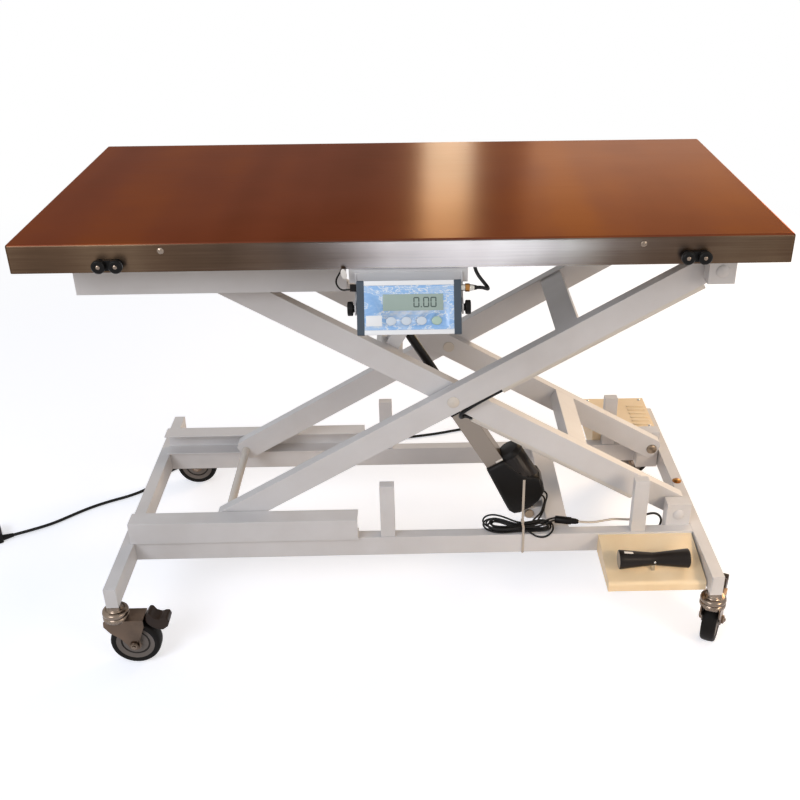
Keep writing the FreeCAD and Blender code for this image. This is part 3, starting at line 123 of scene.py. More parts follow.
# each lamp: where it stands and aims, its size, watts, colour, spread in degrees, and the
# pieces that it lights, where those aren't all
sheet_only = bpy.data.collections.new("sheet_only")
WIDE, NARROW = 180, 44
for name, stand, target, size, power, colour, spread, receiver in (
        ("front_left", (-2.0, -2.6, 2.4), (0, 0, 0.5), (1.8, 1.4), 50, "#F7F9FF", WIDE, None),
        ("front_right", (2.2, -2.2, 1.5), (0, 0, 0.4), (1.4, 1.4), 16, "#FFF6EC", WIDE, None),
        ("back_right", (2.0, 1.6, 1.3), (0.5, 0.2, 0.2), (0.9, 0.9), 34, "#FFD6A0", WIDE, None),
        ("right_corner", (1.5, -1.3, 1.0), (0.56, -0.25, 0.15), (0.4, 0.4), 0.65, "#FFDDB4",
         NARROW, None),
        ("front_middle", (0.15, -2.6, 0.35), (0.06, 0, 0.85), (0.75, 0.9), 150, "#A0C8FF", WIDE,
         sheet_only),
        ("behind", (0.165, 2.6, 1.75), (0.03, 0, 0.88), (0.22, 1.1), 17, "#B1F6FF", WIDE,
         sheet_only),
        ("behind_right", (1.3, 2.6, 1.7), (0.4, 0, 0.88), (1.6, 1.0), 20, "#D2FFFF", WIDE,
         sheet_only)):
    lamp = bpy.data.objects.new(name, bpy.data.lights.new(name, "AREA"))
    scene.collection.objects.link(lamp)
    lamp.data.shape = "RECTANGLE"
    lamp.data.size, lamp.data.size_y = size
    lamp.data.energy = power
    lamp.data.spread = math.radians(spread)
    lamp.data.color = linear(colour)[:3]
    lamp.location = stand
    lamp.rotation_euler = (Vector(target) - Vector(stand)).to_track_quat("-Z", "Y").to_euler()
    lamp.visible_camera = False
    if receiver:
        lamp.light_linking.receiver_collection = receiver

# the floor is lit and takes the shadow near the table, and fades to plain white further off;
# the light it throws back up is a little warmer
bpy.ops.mesh.primitive_plane_add(size=40, location=(0, 0, -0.0005))
floor = bpy.context.object
floor.name = "floor"
bpy.ops.object.transform_apply(location=True)
floor_paint = bpy.data.materials.new("pale_floor")
tree = empty_tree(floor_paint)
warm = add(tree, "ShaderNodeBsdfDiffuse", Color=linear("#D3C6B9"))
near = add(tree, "ShaderNodeBsdfDiffuse", Color=linear("#E2E7F2"))
lift = add(tree, "ShaderNodeEmission", Color=linear("#FFFFFF"), Strength=0.5)
lit = add(tree, "ShaderNodeAddShader", i0=near.outputs[0], i1=lift.outputs[0])
at = add(tree, "ShaderNodeTexCoord")
away = add(tree, "ShaderNodeVectorMath", {"operation": "LENGTH"}, i0=at.outputs["Object"])
NEAR, FAR = 1.1, 3.2
fade = add(tree, "ShaderNodeMapRange", Value=away.outputs["Value"], From_Min=NEAR, From_Max=FAR)
wall = add(tree, "ShaderNodeEmission", Color=linear("#FFFFFF"), Strength=1.0)
shown = add(tree, "ShaderNodeMixShader", i0=fade.outputs["Result"], i1=lit.outputs[0],
            i2=wall.outputs[0])
both = add(tree, "ShaderNodeMixShader", i0=looked_at(tree), i1=warm.outputs[0],
           i2=shown.outputs[0])
add(tree, "ShaderNodeOutputMaterial", Surface=both.outputs[0])
floor.data.materials.append(floor_paint)

# ------------------------------------------------------------------ base frame
# Rectangular steel tube, 45 x 25, welded into an open rectangle, with folded roller tracks,
# hinge blocks and stop posts on its rails. It is powder coated white after welding.

MACHINE = Matrix.Translation(Vector((-0.007, 0.017, 0)))


def place(x, y, z):
    """A point given in millimetres from under the middle of the top, in metres."""
    return MACHINE @ (Vector((x, y, z)) / 1000)


def only(piece):
    """Leaves this piece alone selected and active."""
    bpy.ops.object.select_all(action="DESELECT")
    piece.select_set(True)
    bpy.context.view_layer.objects.active = piece


def apply_all(piece):
    only(piece)
    for modifier in list(piece.modifiers):
        bpy.ops.object.modifier_apply(modifier=modifier.name)


def surface(name, colour, roughness, metallic=0.0, grain=2.0, relief=0.0, uneven=0.04,
            shade=None, **more):
    """A plain finish: grain is the size of its unevenness in mm, relief its depth in mm."""
    paint = bpy.data.materials.new(name)
    tree = empty_tree(paint)
    at = add(tree, "ShaderNodeTexCoord")
    fine = add(tree, "ShaderNodeTexNoise", Vector=at.outputs["Object"], Scale=1000 / grain,
               Detail=3.0, Roughness=0.6)
    # slow changes of tone, some 70 mm across
    broad = add(tree, "ShaderNodeTexNoise", Vector=at.outputs["Object"], Scale=14.0, Detail=4.0)
    tint = add(tree, "ShaderNodeValToRGB", {"stops": [(0.3, shade or colour), (0.7, colour)]},
               Fac=broad.outputs["Fac"])
    rough = add(tree, "ShaderNodeMapRange", Value=fine.outputs["Fac"], To_Min=roughness - uneven,
                To_Max=roughness + uneven)
    skin = add(tree, "ShaderNodeBsdfPrincipled", Base_Color=tint.outputs["Color"],
               Roughness=rough.outputs["Result"], Metallic=metallic, **more)
    if relief:
        bump = add(tree, "ShaderNodeBump", Height=fine.outputs["Fac"], Distance=relief / 1000,
                   Strength=0.6)
        tree.links.new(bump.outputs["Normal"], skin.inputs["Normal"])
    add(tree, "ShaderNodeOutputMaterial", Surface=skin.outputs[0])
    return paint


body_of = {node: body for body, members in frame["record"]["behaviour"]["bodies"].items()
           for node in members}
slot_of = {row["node"]: row["material_slot"] for row in frame["record"]["subparts"]}


def settle(piece, body, slot, *nodes):
    """Fastens a finished piece to its body and hides the nodes it stands for; slot is not used.
    """
    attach(piece, body)
    if nodes:
        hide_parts(*nodes)


def finished(node, paint, edge=0.8, smooth=32):
    """A clean copy of a frame piece; edges are eased by edge mm, angles in degrees."""
    piece = bpy.data.objects.new(node + "_finished", frame["nodes"][node].data.copy())
    scene.collection.objects.link(piece)
    only(piece)
    bpy.ops.object.mode_set(mode="EDIT")
    bpy.ops.mesh.select_all(action="SELECT")
    bpy.ops.mesh.remove_doubles(threshold=0.00001)
    bpy.ops.mesh.dissolve_limited(angle_limit=math.radians(0.5))
    bpy.ops.object.mode_set(mode="OBJECT")
    bpy.ops.object.shade_smooth_by_angle(angle=math.radians(smooth))
    if edge:
        ease = piece.modifiers.new("ease", "BEVEL")
        ease.width = edge / 1000
        ease.segments = 2
        ease.limit_method = "ANGLE"
        ease.angle_limit = math.radians(40)
        ease.use_clamp_overlap = False
        ease.harden_normals = True
        apply_all(piece)
    piece.data.materials.clear()
    piece.data.materials.append(paint)
    settle(piece, body_of[node], slot_of[node], node)
    return piece


def repaint(piece, paint, chosen):
    """Gives a second paint to the faces whose middle and normal pass the test, in mm."""
    piece.data.materials.append(paint)
    last = len(piece.data.materials) - 1
    back = MACHINE.inverted()
    for face in piece.data.polygons:
        if chosen(back @ face.center * 1000, face.normal):
            face.material_index = last


# polyester powder coat: off-white, half gloss, with the faint orange peel of spraying
powder_white = surface("white_powder_coat", "#DAD9DA", 0.38, grain=3.0, relief=0.02,
                       shade="#D3D1D1")
# the same coat over the folded covers, drawn cream all over: painted warm light falling on them
# from above
cream_painted_warm_light = surface("cream_coat_painted_warm_light", "#FAE4C0", 0.42, grain=3.0, relief=0.02,
                       shade="#F2D8AE")
finished("base_end_tubes", powder_white)
finished("base_rails", powder_white)
finished("lower_tracks", powder_white)


def turned(name, profile, paint, steps=40, stand=MACHINE, open_bore=False, smooth=40):
    """A turned piece: profile is (radius, height) in mm along the own Z of its stand."""
    bpy.ops.object.select_all(action="DESELECT")
    radius, height = profile[0]
    bpy.ops.mesh.primitive_circle_add(vertices=steps, radius=radius / 1000,
                                      fill_type="NOTHING" if open_bore else "NGON",
                                      location=(0, 0, height / 1000))
    piece = bpy.context.object
    piece.name = name
    bpy.ops.object.transform_apply(location=True)
    bpy.ops.object.mode_set(mode="EDIT")
    bpy.ops.mesh.select_all(action="SELECT")
    for (radius, height), (wider, higher) in zip(profile, profile[1:]):
        bpy.ops.mesh.extrude_region_move(
            TRANSFORM_OT_translate={"value": (0, 0, (higher - height) / 1000)})
        bpy.ops.transform.resize(value=(wider / radius, wider / radius, 1),
                                 center_override=(0, 0, higher / 1000))
    bpy.ops.mesh.select_all(action="SELECT")
    bpy.ops.mesh.remove_doubles(threshold=0.000005)
    bpy.ops.mesh.normals_make_consistent(inside=False)
    bpy.ops.object.mode_set(mode="OBJECT")
    piece.matrix_world = stand
    only(piece)
    bpy.ops.object.transform_apply(location=True, rotation=True, scale=True)
    bpy.ops.object.shade_smooth_by_angle(angle=math.radians(smooth))
    piece.data.materials.append(paint)
    return piece


def standing(x, y, z, axis="Z"):
    """Where a piece's own Z starts and points: along Z, X, Y, or -Y (written F)."""
    turn = {"Z": (0, "X"), "X": (90, "Y"), "Y": (-90, "X"), "F": (90, "X")}[axis]
    return (Matrix.Translation(place(x, y, z)) @
            Matrix.Rotation(math.radians(turn[0]), 4, turn[1]))


# the hinge pins are turned steel; their inner ends show a browned domed head
browned_steel = surface("browned_steel", "#8A7A68", 0.34, 1.0, grain=1.2, relief=0.01)
HINGE_X, HINGE_Z = 564, 210
finished("lower_hinge_blocks", powder_white, 0.7)
for name, start, axis in (("front", -100, "Y"), ("back", 100, "F")):
    head = turned("hinge_pin_head_" + name,
                  [(12, 0), (12, 1.4), (11, 2.6), (8, 4), (4, 4.8), (0.4, 5)], browned_steel,
                  stand=standing(HINGE_X, start, HINGE_Z, axis))
    settle(head, "base", "bright_steel")

# the clevis is coated like the frame; the head and nut of its bolt are browned steel
CLEVIS_X, CLEVIS_Y, CLEVIS_Z = 260, -60, 160
clevis = finished("actuator_clevis", powder_white, 0.7)
repaint(clevis, browned_steel, lambda point, normal: abs(point.y - CLEVIS_Y) > 16.3 and
        math.hypot(point.x - CLEVIS_X, point.z - CLEVIS_Z) < 12)

# a round-headed brass screw, the earth terminal, stands on the right end tube
brass = surface("brass", "#A0703E", 0.3, 1.0, grain=1.0, relief=0.01)
earth = turned("earth_screw", [(10, 0), (10, 1.2), (7.8, 1.3), (7.8, 3), (6.2, 4.6), (2.6, 5.3),
                               (0.3, 5.4)], brass, steps=28, stand=standing(602.1, 1.7, 185))
settle(earth, "base", "bright_steel")

# ------------------------------------------------------------------ casters
# Four braked swivel casters. A dull chromed double race carries a pressed, zinc plated fork;
# the wheel is a black rubber tyre bonded on a grey moulded hub, held by a bolt and a nut.

# worn chrome: browned and a little blurred, yet sharp enough to show the rings of the races
dull_chrome = surface("dull_chrome_plate", "#8F8073", 0.22, 1.0, grain=1.5, shade="#6E6054")
# yellow chromated zinc, gone brown and blotched on the pressings, bright on small parts
zinc = surface("zinc_plated_pressing", "#7A6656", 0.34, 1.0, grain=2.0, relief=0.02,
               shade="#5B4E44")
bright_zinc = surface("bright_zinc", "#C6C1B8", 0.22, 1.0, grain=1.2, relief=0.01)
# matt moulded rubber; the grey hub is smoother, drawn darker in its groove
tyre_rubber = surface("black_tyre_rubber", "#120E0B", 0.6, grain=0.9, relief=0.06,
                      shade="#0C0A08", Specular_IOR_Level=0.15)
hub_grey = surface("grey_nylon_hub", "#6A615A", 0.42, grain=1.0, relief=0.03, shade="#5C544E")
groove_dark = surface("darkened_groove", "#2B2622", 0.7, grain=1.0)
# nylon pedals, moulded with a fine grain and browned by shoes
brake_black = surface("brown_black_nylon", "#35271E", 0.4, grain=1.0, relief=0.03,
                      shade="#241A14", Specular_IOR_Level=0.2)

CORNERS = {"front_left": (-585.5, -327.5, 0), "back_left": (-585.5, 327.5, 0),
           "front_right": (603.5, -327.5, 64), "back_right": (603.5, 327.5, 190)}
AXLE_X, AXLE_Z = 0.0315, 0.05
AXLE = Matrix.Translation((AXLE_X, 0, AXLE_Z))
WHEEL = AXLE @ Matrix.Rotation(math.radians(-90), 4, "X")

# turned once about the swivel's own axis, then copied to each corner
race = turned("race", [(8, 104), (8, 118.3), (21, 118.3), (24.4, 118.9), (25.8, 120.8),
                       (26, 123.2), (25.4, 126), (23.6, 128.2), (20.8, 129.6), (18.6, 129.8),
                       (17.8, 129.1), (16.8, 129.3), (15.6, 131.2), (13.6, 132), (13, 133),
                       (13, 139.8)], dull_chrome, stand=Matrix())
tyre = turned("tyre", [(38.1, -13), (41.5, -14.5), (45, -14.8), (47.6, -13.4), (49.2, -10.5),
                       (49.9, -6), (50, 0), (49.9, 6), (49.2, 10.5), (47.6, 13.4), (45, 14.8),
                       (41.5, 14.5), (38.1, 13), (38.1, -13)], tyre_rubber, steps=64,
              stand=WHEEL, open_bore=True, smooth=60)
hub = turned("hub", [(6.2, -15.6), (12.4, -15.6), (13.6, -14.6), (14.6, -11.2), (25.6, -10.2),
                     (26.4, -8.4), (28.4, -8.4), (29.4, -10.5), (35.5, -11.8), (38.1, -12.9),
                     (38.1, 12.9), (35.5, 11.8), (29.4, 10.5), (28.4, 8.4), (26.4, 8.4),
                     (25.6, 10.2), (14.6, 11.2), (13.6, 14.6), (12.4, 15.6), (6.2, 15.6),
                     (6.2, -15.6)], hub_grey, steps=64, stand=WHEEL, open_bore=True)
hub.data.materials.append(groove_dark)
GROOVE_IN, GROOVE_OUT = 0.0257, 0.0293
# the faces in the groove take the darker paint
for face in hub.data.polygons:
    if GROOVE_IN < math.hypot(face.center.x - AXLE_X, face.center.z - AXLE_Z) < GROOVE_OUT:
        face.material_index = 1
nut = turned("axle_nut", [(7.2, 19.5), (7.2, 24.6), (6.5, 25.6), (4, 25.6), (4, 27.4),
                          (3.2, 28)], dull_chrome, steps=6, smooth=25,
             stand=AXLE @ Matrix.Rotation(math.radians(90), 4, "X"))
bolt = turned("axle_bolt", [(8.2, 19.5), (8.2, 24), (7.2, 25.4), (4, 26.4), (0.5, 26.8)],
              dull_chrome, steps=24, stand=WHEEL)

for corner, (x, y, swing) in CORNERS.items():
    stand = (Matrix.Translation(place(x, y, 0)) @
             Matrix.Rotation(math.radians(swing), 4, "Z"))
    for model, body, slot, nodes in (
            (race, "base", "bright_steel", ["caster_stems"]),
            (tyre, corner + "_wheel", "tyre_rubber", ["caster_wheel_" + corner]),
            (hub, corner + "_wheel", "tyre_rubber", ["caster_wheel_" + corner]),
            (nut, corner + "_fork", "zinc_plate", []),
            (bolt, corner + "_fork", "zinc_plate", [])):
        copy = bpy.data.objects.new(model.name + "_" + corner, model.data.copy())
        scene.collection.objects.link(copy)
        copy.data.transform(stand)
        settle(copy, body, slot, *nodes)
    fork = finished("caster_fork_" + corner, zinc, 0.6, 45)
    # the lower race is one with the fork's crown
    repaint(fork, dull_chrome, lambda point, normal: point.z > 105.5 and normal.z < 0.9 and
            math.hypot(point.x - x, point.y - y) < 26.3)
    finished("caster_brake_" + corner, brake_black, 2.2, 60)
for model in (race, tyre, hub, nut, bolt):
    bpy.data.objects.remove(model)

# ------------------------------------------------------------------ pedal tray and foot rocker
# A folded sheet cover screwed to the front rail. The rocker is an hourglass of moulded black
# rubber on a pin through the small pillar, and tips on the foot switch under the cover.

# deep black nylon with the matt grain of its mould
black_moulding = surface("moulded_black_nylon", "#0E0C0B", 0.38, grain=0.8, relief=0.03,
                         Specular_IOR_Level=0.15)
ROCKER_X, ROCKER_Y = 487, -283
# painted warm light: the cover is drawn cream
tray = finished("pedal_tray", cream_painted_warm_light, 0.5)
# its plated pillar and pin, and the black foot switch under the cover
repaint(tray, bright_zinc, lambda point, normal: point.z > 183 and
        abs(point.x - ROCKER_X) < 12 and abs(point.y - ROCKER_Y) < 13)
SWITCH_FRONT, SWITCH_BACK, SWITCH_LEFT, SWITCH_RIGHT, SWITCH_TOP = -248, -222, 473, 499, 175
repaint(tray, black_moulding, lambda point, normal: SWITCH_FRONT < point.y < SWITCH_BACK and
        SWITCH_LEFT < point.x < SWITCH_RIGHT and point.z < SWITCH_TOP)

# black rubber worn half glossy by shoes, capped in grey; its sticker is blank film
rocker_rubber = surface("brown_black_rubber", "#1C1510", 0.34, grain=0.8, relief=0.04,
                        shade="#130E0B", Specular_IOR_Level=0.2)
end_cap = surface("grey_rubber_cap", "#A89C8F", 0.5, grain=0.8, relief=0.03)
sticker = surface("blank_white_sticker", "#E4E0DA", 0.4, grain=2.0)
STICKER_LEFT, STICKER_RIGHT, STICKER_FRONT, STICKER_BACK = 426, 444, -287, -281
rocker = finished("foot_rocker", rocker_rubber, 0.6, 60)
only(rocker)
bpy.ops.object.mode_set(mode="EDIT")
for across, facing in (((STICKER_LEFT, 0, 0), (1, 0, 0)), ((STICKER_RIGHT, 0, 0), (1, 0, 0)),
                       ((0, STICKER_FRONT, 0), (0, 1, 0)), ((0, STICKER_BACK, 0), (0, 1, 0))):
    bpy.ops.mesh.select_all(action="SELECT")
    bpy.ops.mesh.bisect(plane_co=place(*across), plane_no=facing)
bpy.ops.object.mode_set(mode="OBJECT")
repaint(rocker, end_cap, lambda point, normal: abs(normal.x) > 0.9 and
        abs(point.x - ROCKER_X) > 70)
repaint(rocker, sticker, lambda point, normal: STICKER_LEFT < point.x < STICKER_RIGHT and
        normal.z > 0.8 and STICKER_FRONT < point.y < STICKER_BACK)

# ------------------------------------------------------------------ control box
# A folded sheet steel box behind the back rail, with six pressed louvres in its lid, four lid
# screws and a black moulded gland for the mains cord.

BOX_BACK, BOX_LID = 338.05, 216
# painted warm light: the box is drawn cream
box = finished("control_box", cream_painted_warm_light, 0.6)
repaint(box, black_moulding, lambda point, normal: point.y > BOX_BACK)
# clear zinc plating, almost mirror bright on new screws
bright_steel = surface("bright_zinc_plated_steel", "#C9C5BE", 0.2, 1.0, grain=1.5, relief=0.01)


def slab(name, low, high, ease, paint, stand=MACHINE):
    """A block between two corners in mm, its edges rounded by ease mm."""
    bpy.ops.object.select_all(action="DESELECT")
    middle = (Vector(low) + Vector(high)) / 2000
    bpy.ops.mesh.primitive_cube_add(size=0.001, location=middle)
    piece = bpy.context.object
    piece.name = name
    piece.scale = Vector(high) - Vector(low)
    bpy.ops.object.transform_apply(location=True, rotation=True, scale=True)
    bpy.ops.object.mode_set(mode="EDIT")
    bpy.ops.mesh.select_all(action="SELECT")
    bpy.ops.mesh.bevel(offset=ease / 1000, segments=3, affect="EDGES")
    bpy.ops.object.mode_set(mode="OBJECT")
    piece.matrix_world = stand
    only(piece)
    bpy.ops.object.transform_apply(location=True, rotation=True, scale=True)
    bpy.ops.object.shade_smooth_by_angle(angle=math.radians(30))
    piece.data.materials.append(paint)
    return piece


LOUVRES, LOUVRE_PITCH = 6, 18
# painted warm light: the lips are drawn cream like the lid
for row in range(LOUVRES):
    lip = slab("louvre_lip_%d" % row, (541.5, 202 + LOUVRE_PITCH * row, 214.5),
               (584.5, 208.4 + LOUVRE_PITCH * row, 218.2), 1.5, cream_painted_warm_light)
    settle(lip, "base", "powder_coat")
for name, x, y in (("a", 450, 198), ("b", 580, 198), ("c", 450, 328), ("d", 580, 328)):
    head = turned("lid_screw_" + name, [(4, 0), (4, 0.8), (3, 2), (1.2, 2.6), (0.3, 2.7)],
                  bright_steel, steps=20, stand=standing(x, y, BOX_LID))
    settle(head, "base", "bright_steel")

# ------------------------------------------------------------------ scissor arms
# Two pairs of closed rectangular tubes with bushed holes, each pair joined by a cross beam.
# The centre pins and the lower rollers' shaft are painted with them, the upper rollers' shaft
# is bright steel, and the rollers are turned from white nylon.

finished("outer_arms", powder_white, 1.0)
finished("inner_arms", powder_white, 1.0)
finished("lift_beam", powder_white, 0.7)
# thick paint over steel: warmer and glossier than the arms round it
pin_white = surface("painted_pin_head", "#DDD6CC", 0.26, grain=2.0, relief=0.01)
finished("outer_arm_pins", pin_white, 0.4, 40)
finished("upper_roller_shaft", bright_steel, 0.3, 40)
# white nylon, greyed by use and a little uneven
turned_nylon = surface("turned_nylon", "#CFCCC3", 0.4, grain=1.0, relief=0.02)
finished("lower_rollers", turned_nylon, 0.4, 40)
finished("upper_rollers", turned_nylon, 0.4, 40)

# half-round extruded PVC ducts under the front arms
duct_pvc = surface("white_pvc", "#DAD6CF", 0.3, grain=2.0, relief=0.01)
finished("outer_cable_duct", duct_pvc, 0.5, 40)
finished("inner_cable_duct", duct_pvc, 0.5, 40)

# ------------------------------------------------------------------ actuator
# A linear actuator: a black glass-filled nylon gear case with its motor lying alongside, an
# anodised aluminium profile, and a push rod in a black coated tube.

# the case is matt and a little rough from its glass; the motor's shell is smoother. The
# profile's front face is drawn brighter than its other sides: painted light on the face, painted
# shade on the sides
case_black = surface("glass_filled_nylon", "#120F0D", 0.48, grain=1.0, relief=0.06,
                     shade="#0C0A09", Specular_IOR_Level=0.2)
motor_black = surface("motor_shell", "#1E1611", 0.36, grain=1.2, relief=0.03, shade="#15100D",
                      Specular_IOR_Level=0.25)
profile_painted_shade_sides = surface("anodised_profile", "#6E645A", 0.38, 1.0, grain=1.0, relief=0.01)
profile_painted_lit_face = surface("anodised_profile_face", "#8D8277", 0.32, 1.0, grain=1.0, relief=0.01)
rod_black = surface("black_coated_tube", "#12100F", 0.3, grain=1.0, Specular_IOR_Level=0.2)
ACTUATOR = (Matrix.Translation(place(CLEVIS_X, CLEVIS_Y, CLEVIS_Z)) @
            Matrix.Rotation(math.radians(-120.7), 4, "Y"))
MOTOR_DROP = 38


def along_rod(point):
    """A machine point, in mm, in the actuator's own frame."""
    return ACTUATOR.inverted() @ place(*point) * 1000


housing = finished("actuator_housing", case_black, 1.5, 45)
repaint(housing, motor_black, lambda point, normal: 66 < along_rod(point).x < 160 and
        math.hypot(along_rod(point).y, along_rod(point).z + MOTOR_DROP) < 27.3 and
        along_rod(point).z < -16)
profile = finished("actuator_profile", profile_painted_shade_sides, 0.8, 45)
# painted light: the faces turned to the front take the brighter paint
repaint(profile, profile_painted_lit_face, lambda point, normal: normal.y < -0.7)
finished("actuator_rod", rod_black, 0.3, 45)
ring = turned("motor_end_ring", [(27.6, 150), (27.9, 151), (27.9, 155), (27.2, 157), (23, 162.5),
                                 (8, 164.4), (0.5, 164.6)], case_black, steps=48,
              stand=ACTUATOR @ Matrix.Translation((0, 0, -MOTOR_DROP / 1000)) @
              Matrix.Rotation(math.radians(90), 4, "Y"))
settle(ring, "actuator", "black_plastic")
wiper = slab("profile_end_cap", (300, -21.2, -21.2), (315.5, 21.2, 21.2), 2.0, case_black,
             ACTUATOR)
settle(wiper, "actuator", "black_plastic")
patch = slab("profile_patch", (153, -20.5, -20), (157.5, -19.4, -3), 0.4, sticker, ACTUATOR)
settle(patch, "actuator", "white_plastic")

# ------------------------------------------------------------------ upper frame
# Two rails and three cross tubes of the same white coated steel, with the upper tracks and
# hinge blocks under them and four aluminium load cells on top.

finished("upper_frame", powder_white, 0.8)
finished("upper_tracks", powder_white, 0.6)
finished("upper_hinge_blocks", powder_white, 0.7)
# bare milled aluminium: pale, with a soft even shine
milled = surface("milled_aluminium", "#B9BABC", 0.3, 1.0, grain=1.0, relief=0.01)
finished("load_cells", milled, 0.5)

# ------------------------------------------------------------------ stainless top
# A pan folded from 1.5 mm stainless sheet, ground lengthwise with a fine belt, so that light
# spreads across the grind. The sheet is drawn brown and its folded skirt duller and darker:
# painted reflections of a warm brown room, darker on the skirt.


# the sheet mirrors a warm brown room, so that it is drawn brown itself
def brushed(name, shade, middle, light, edge, low, high):
    """Stainless ground along X; the lines are drawn 3 mm wide, or they would not show."""
    paint = bpy.data.materials.new(name)
    tree = empty_tree(paint)
    at = add(tree, "ShaderNodeTexCoord")
    lines = add(tree, "ShaderNodeMapping", Vector=at.outputs["Object"], Scale=(5, 330, 330))
    scratch = add(tree, "ShaderNodeTexNoise", Vector=lines.outputs[0], Scale=1.0, Detail=5.0,
                  Roughness=0.7)
    # painted reflection: bands of tone right across the sheet, some 180 mm wide, and clouds some
    # 140 mm across
    wide = add(tree, "ShaderNodeMapping", Vector=at.outputs["Object"], Scale=(5.5, 0.35, 0.35))
    column = add(tree, "ShaderNodeTexNoise", Vector=wide.outputs[0], Scale=1.0, Detail=2.0)
    cloud = add(tree, "ShaderNodeTexNoise", Vector=at.outputs["Object"], Scale=7.0, Detail=4.0)
    first = add(tree, "ShaderNodeMixRGB", Fac=0.3, Color1=column.outputs["Fac"],
                Color2=scratch.outputs["Fac"])
    tone = add(tree, "ShaderNodeMixRGB", Fac=0.2, Color1=first.outputs["Color"],
               Color2=cloud.outputs["Fac"])
    tint = add(tree, "ShaderNodeValToRGB", {"stops": [(0.36, shade), (0.5, middle),
                                                      (0.64, light)]},
               Fac=tone.outputs["Color"])
    rough = add(tree, "ShaderNodeMapRange", Value=scratch.outputs["Fac"], To_Min=low, To_Max=high)
    groove = add(tree, "ShaderNodeBump", Height=scratch.outputs["Fac"], Distance=0.00002,
                 Strength=0.35)
    face = add(tree, "ShaderNodeNewGeometry")
    grind = add(tree, "ShaderNodeVectorMath", {"operation": "CROSS_PRODUCT"},
                i0=face.outputs["Normal"], i1=(1, 0, 0))
    lean = add(tree, "ShaderNodeVectorMath", {"operation": "ADD"}, i0=grind.outputs["Vector"],
               i1=(0, 0, 0.01))
    skin = add(tree, "ShaderNodeBsdfPrincipled", Base_Color=tint.outputs["Color"], Metallic=1.0,
               Roughness=rough.outputs["Result"], Anisotropic=0.8,
               Specular_Tint=linear(edge), Normal=groove.outputs["Normal"],
               Tangent=lean.outputs["Vector"])
    add(tree, "ShaderNodeOutputMaterial", Surface=skin.outputs[0])
    return paint


top_sheet = brushed("brushed_stainless_sheet", "#5B3020", "#693827", "#774024", "#CEB7B0", 0.24,
                    0.36)
# painted reflection of a darker room: the skirt is drawn darker than the sheet
skirt_painted_reflection = brushed("brushed_stainless_skirt", "#3D2F24", "#503E30", "#62503F", "#B0A090", 0.26,
                      0.38)
SHEET_LOW = 877
pan = finished("table_top", skirt_painted_reflection, 0, 40)
sheet_only.objects.link(pan)
# painted reflection: faces turned up take the lighter brown of the sheet, all others the darker
# skirt
repaint(pan, top_sheet, lambda point, normal: point.z > SHEET_LOW and normal.z > 0.5)
finished("top_stiffeners", skirt_painted_reflection, 0.4)
finished("skirt_screws", dull_chrome, 0, 45)

# leash cleats: moulded black nylon spools in pairs, screwed to both long sides
finished("leash_cleats", black_moulding, 0.5, 45)

# ------------------------------------------------------------------ weighing display
# An extruded aluminium case, slate painted, between two end caps, in a white yoke. A printed
# polyester overlay covers its face round the window and the four rubber keys.

finished("display_bracket", powder_white, 0.6)
# slate blue paint on the extrusion, darker moulded ends, pale strips above and below the film
slate = surface("slate_painted_aluminium", "#7F91A1", 0.36, grain=1.0, relief=0.02,
                shade="#74869A")
cap_slate = surface("slate_end_cap", "#3F4C59", 0.34, grain=1.0, relief=0.02, shade="#35414D")
strip_white = surface("white_anodised_strip", "#F6F8FA", 0.34, grain=1.0, relief=0.01)
# beyond CAP_INSIDE from its middle the case is end cap, black below CAP_BLACK
CASE_X, CAP_INSIDE, CAP_BLACK = 8, 74.2, 741
case = finished("display_case", slate, 0.8, 40)
repaint(case, cap_slate, lambda point, normal: abs(point.x - CASE_X) > CAP_INSIDE)
repaint(case, black_moulding, lambda point, normal: abs(point.x - CASE_X) > CAP_INSIDE and
        point.z < CAP_BLACK)
DISPLAY = (Matrix.Translation(place(CASE_X, -354.5, 775)) @
           Matrix.Rotation(math.radians(-26), 4, "X"))
for name, low, high in (("upper", 36.5, 44.2), ("lower", -44.2, -36.5)):
    strip = slab("case_strip_" + name, (-73.8, -15.5, low), (73.8, -14.4, high), 0.4,
                 strip_white, DISPLAY)
    settle(strip, "display", "white_plastic")

# printed polyester film: pale blue, a little wrinkled where it lifts
film_blue = bpy.data.materials.new("printed_polyester_overlay")
tree = empty_tree(film_blue)
at = add(tree, "ShaderNodeTexCoord")
lay = add(tree, "ShaderNodeMapping", Vector=at.outputs["Object"], Scale=(28, 60, 60))
crease = add(tree, "ShaderNodeTexNoise", Vector=lay.outputs[0], Scale=1.0, Detail=5.0,
             Roughness=0.6)
# painted highlights: the white at the middle of the ramp draws bright streaks along the creases
tint = add(tree, "ShaderNodeValToRGB", {"stops": [(0.38, "#92BFF2"), (0.478, "#A2CBF8"),
                                                  (0.5, "#F6FAFE"), (0.522, "#A2CBF8"),
                                                  (0.7, "#DFE9F4")]},
           Fac=crease.outputs["Fac"])
wrinkle = add(tree, "ShaderNodeBump", Height=crease.outputs["Fac"], Distance=0.0006,
              Strength=0.5)
skin = add(tree, "ShaderNodeBsdfPrincipled", Base_Color=tint.outputs["Color"], Roughness=0.24,
           Normal=wrinkle.outputs["Normal"])
add(tree, "ShaderNodeOutputMaterial", Surface=skin.outputs[0])
overlay = slab("display_overlay", (-73.6, -15.35, -36.3), (73.6, -14.9, 36.3), 0.15, film_blue,
               DISPLAY)
KEYS = {"zero": -30, "tare": -5, "hold": 20, "power": 45}


def key_stand(x):
    """Where the key at x mm stands; it flattens what is turned there to an oval."""
    return (DISPLAY @ Matrix.Translation((x / 1000, -0.015, -0.022)) @
            Matrix.Rotation(math.radians(90), 4, "X") @ Matrix.Diagonal((1, 0.84, 1, 1)))


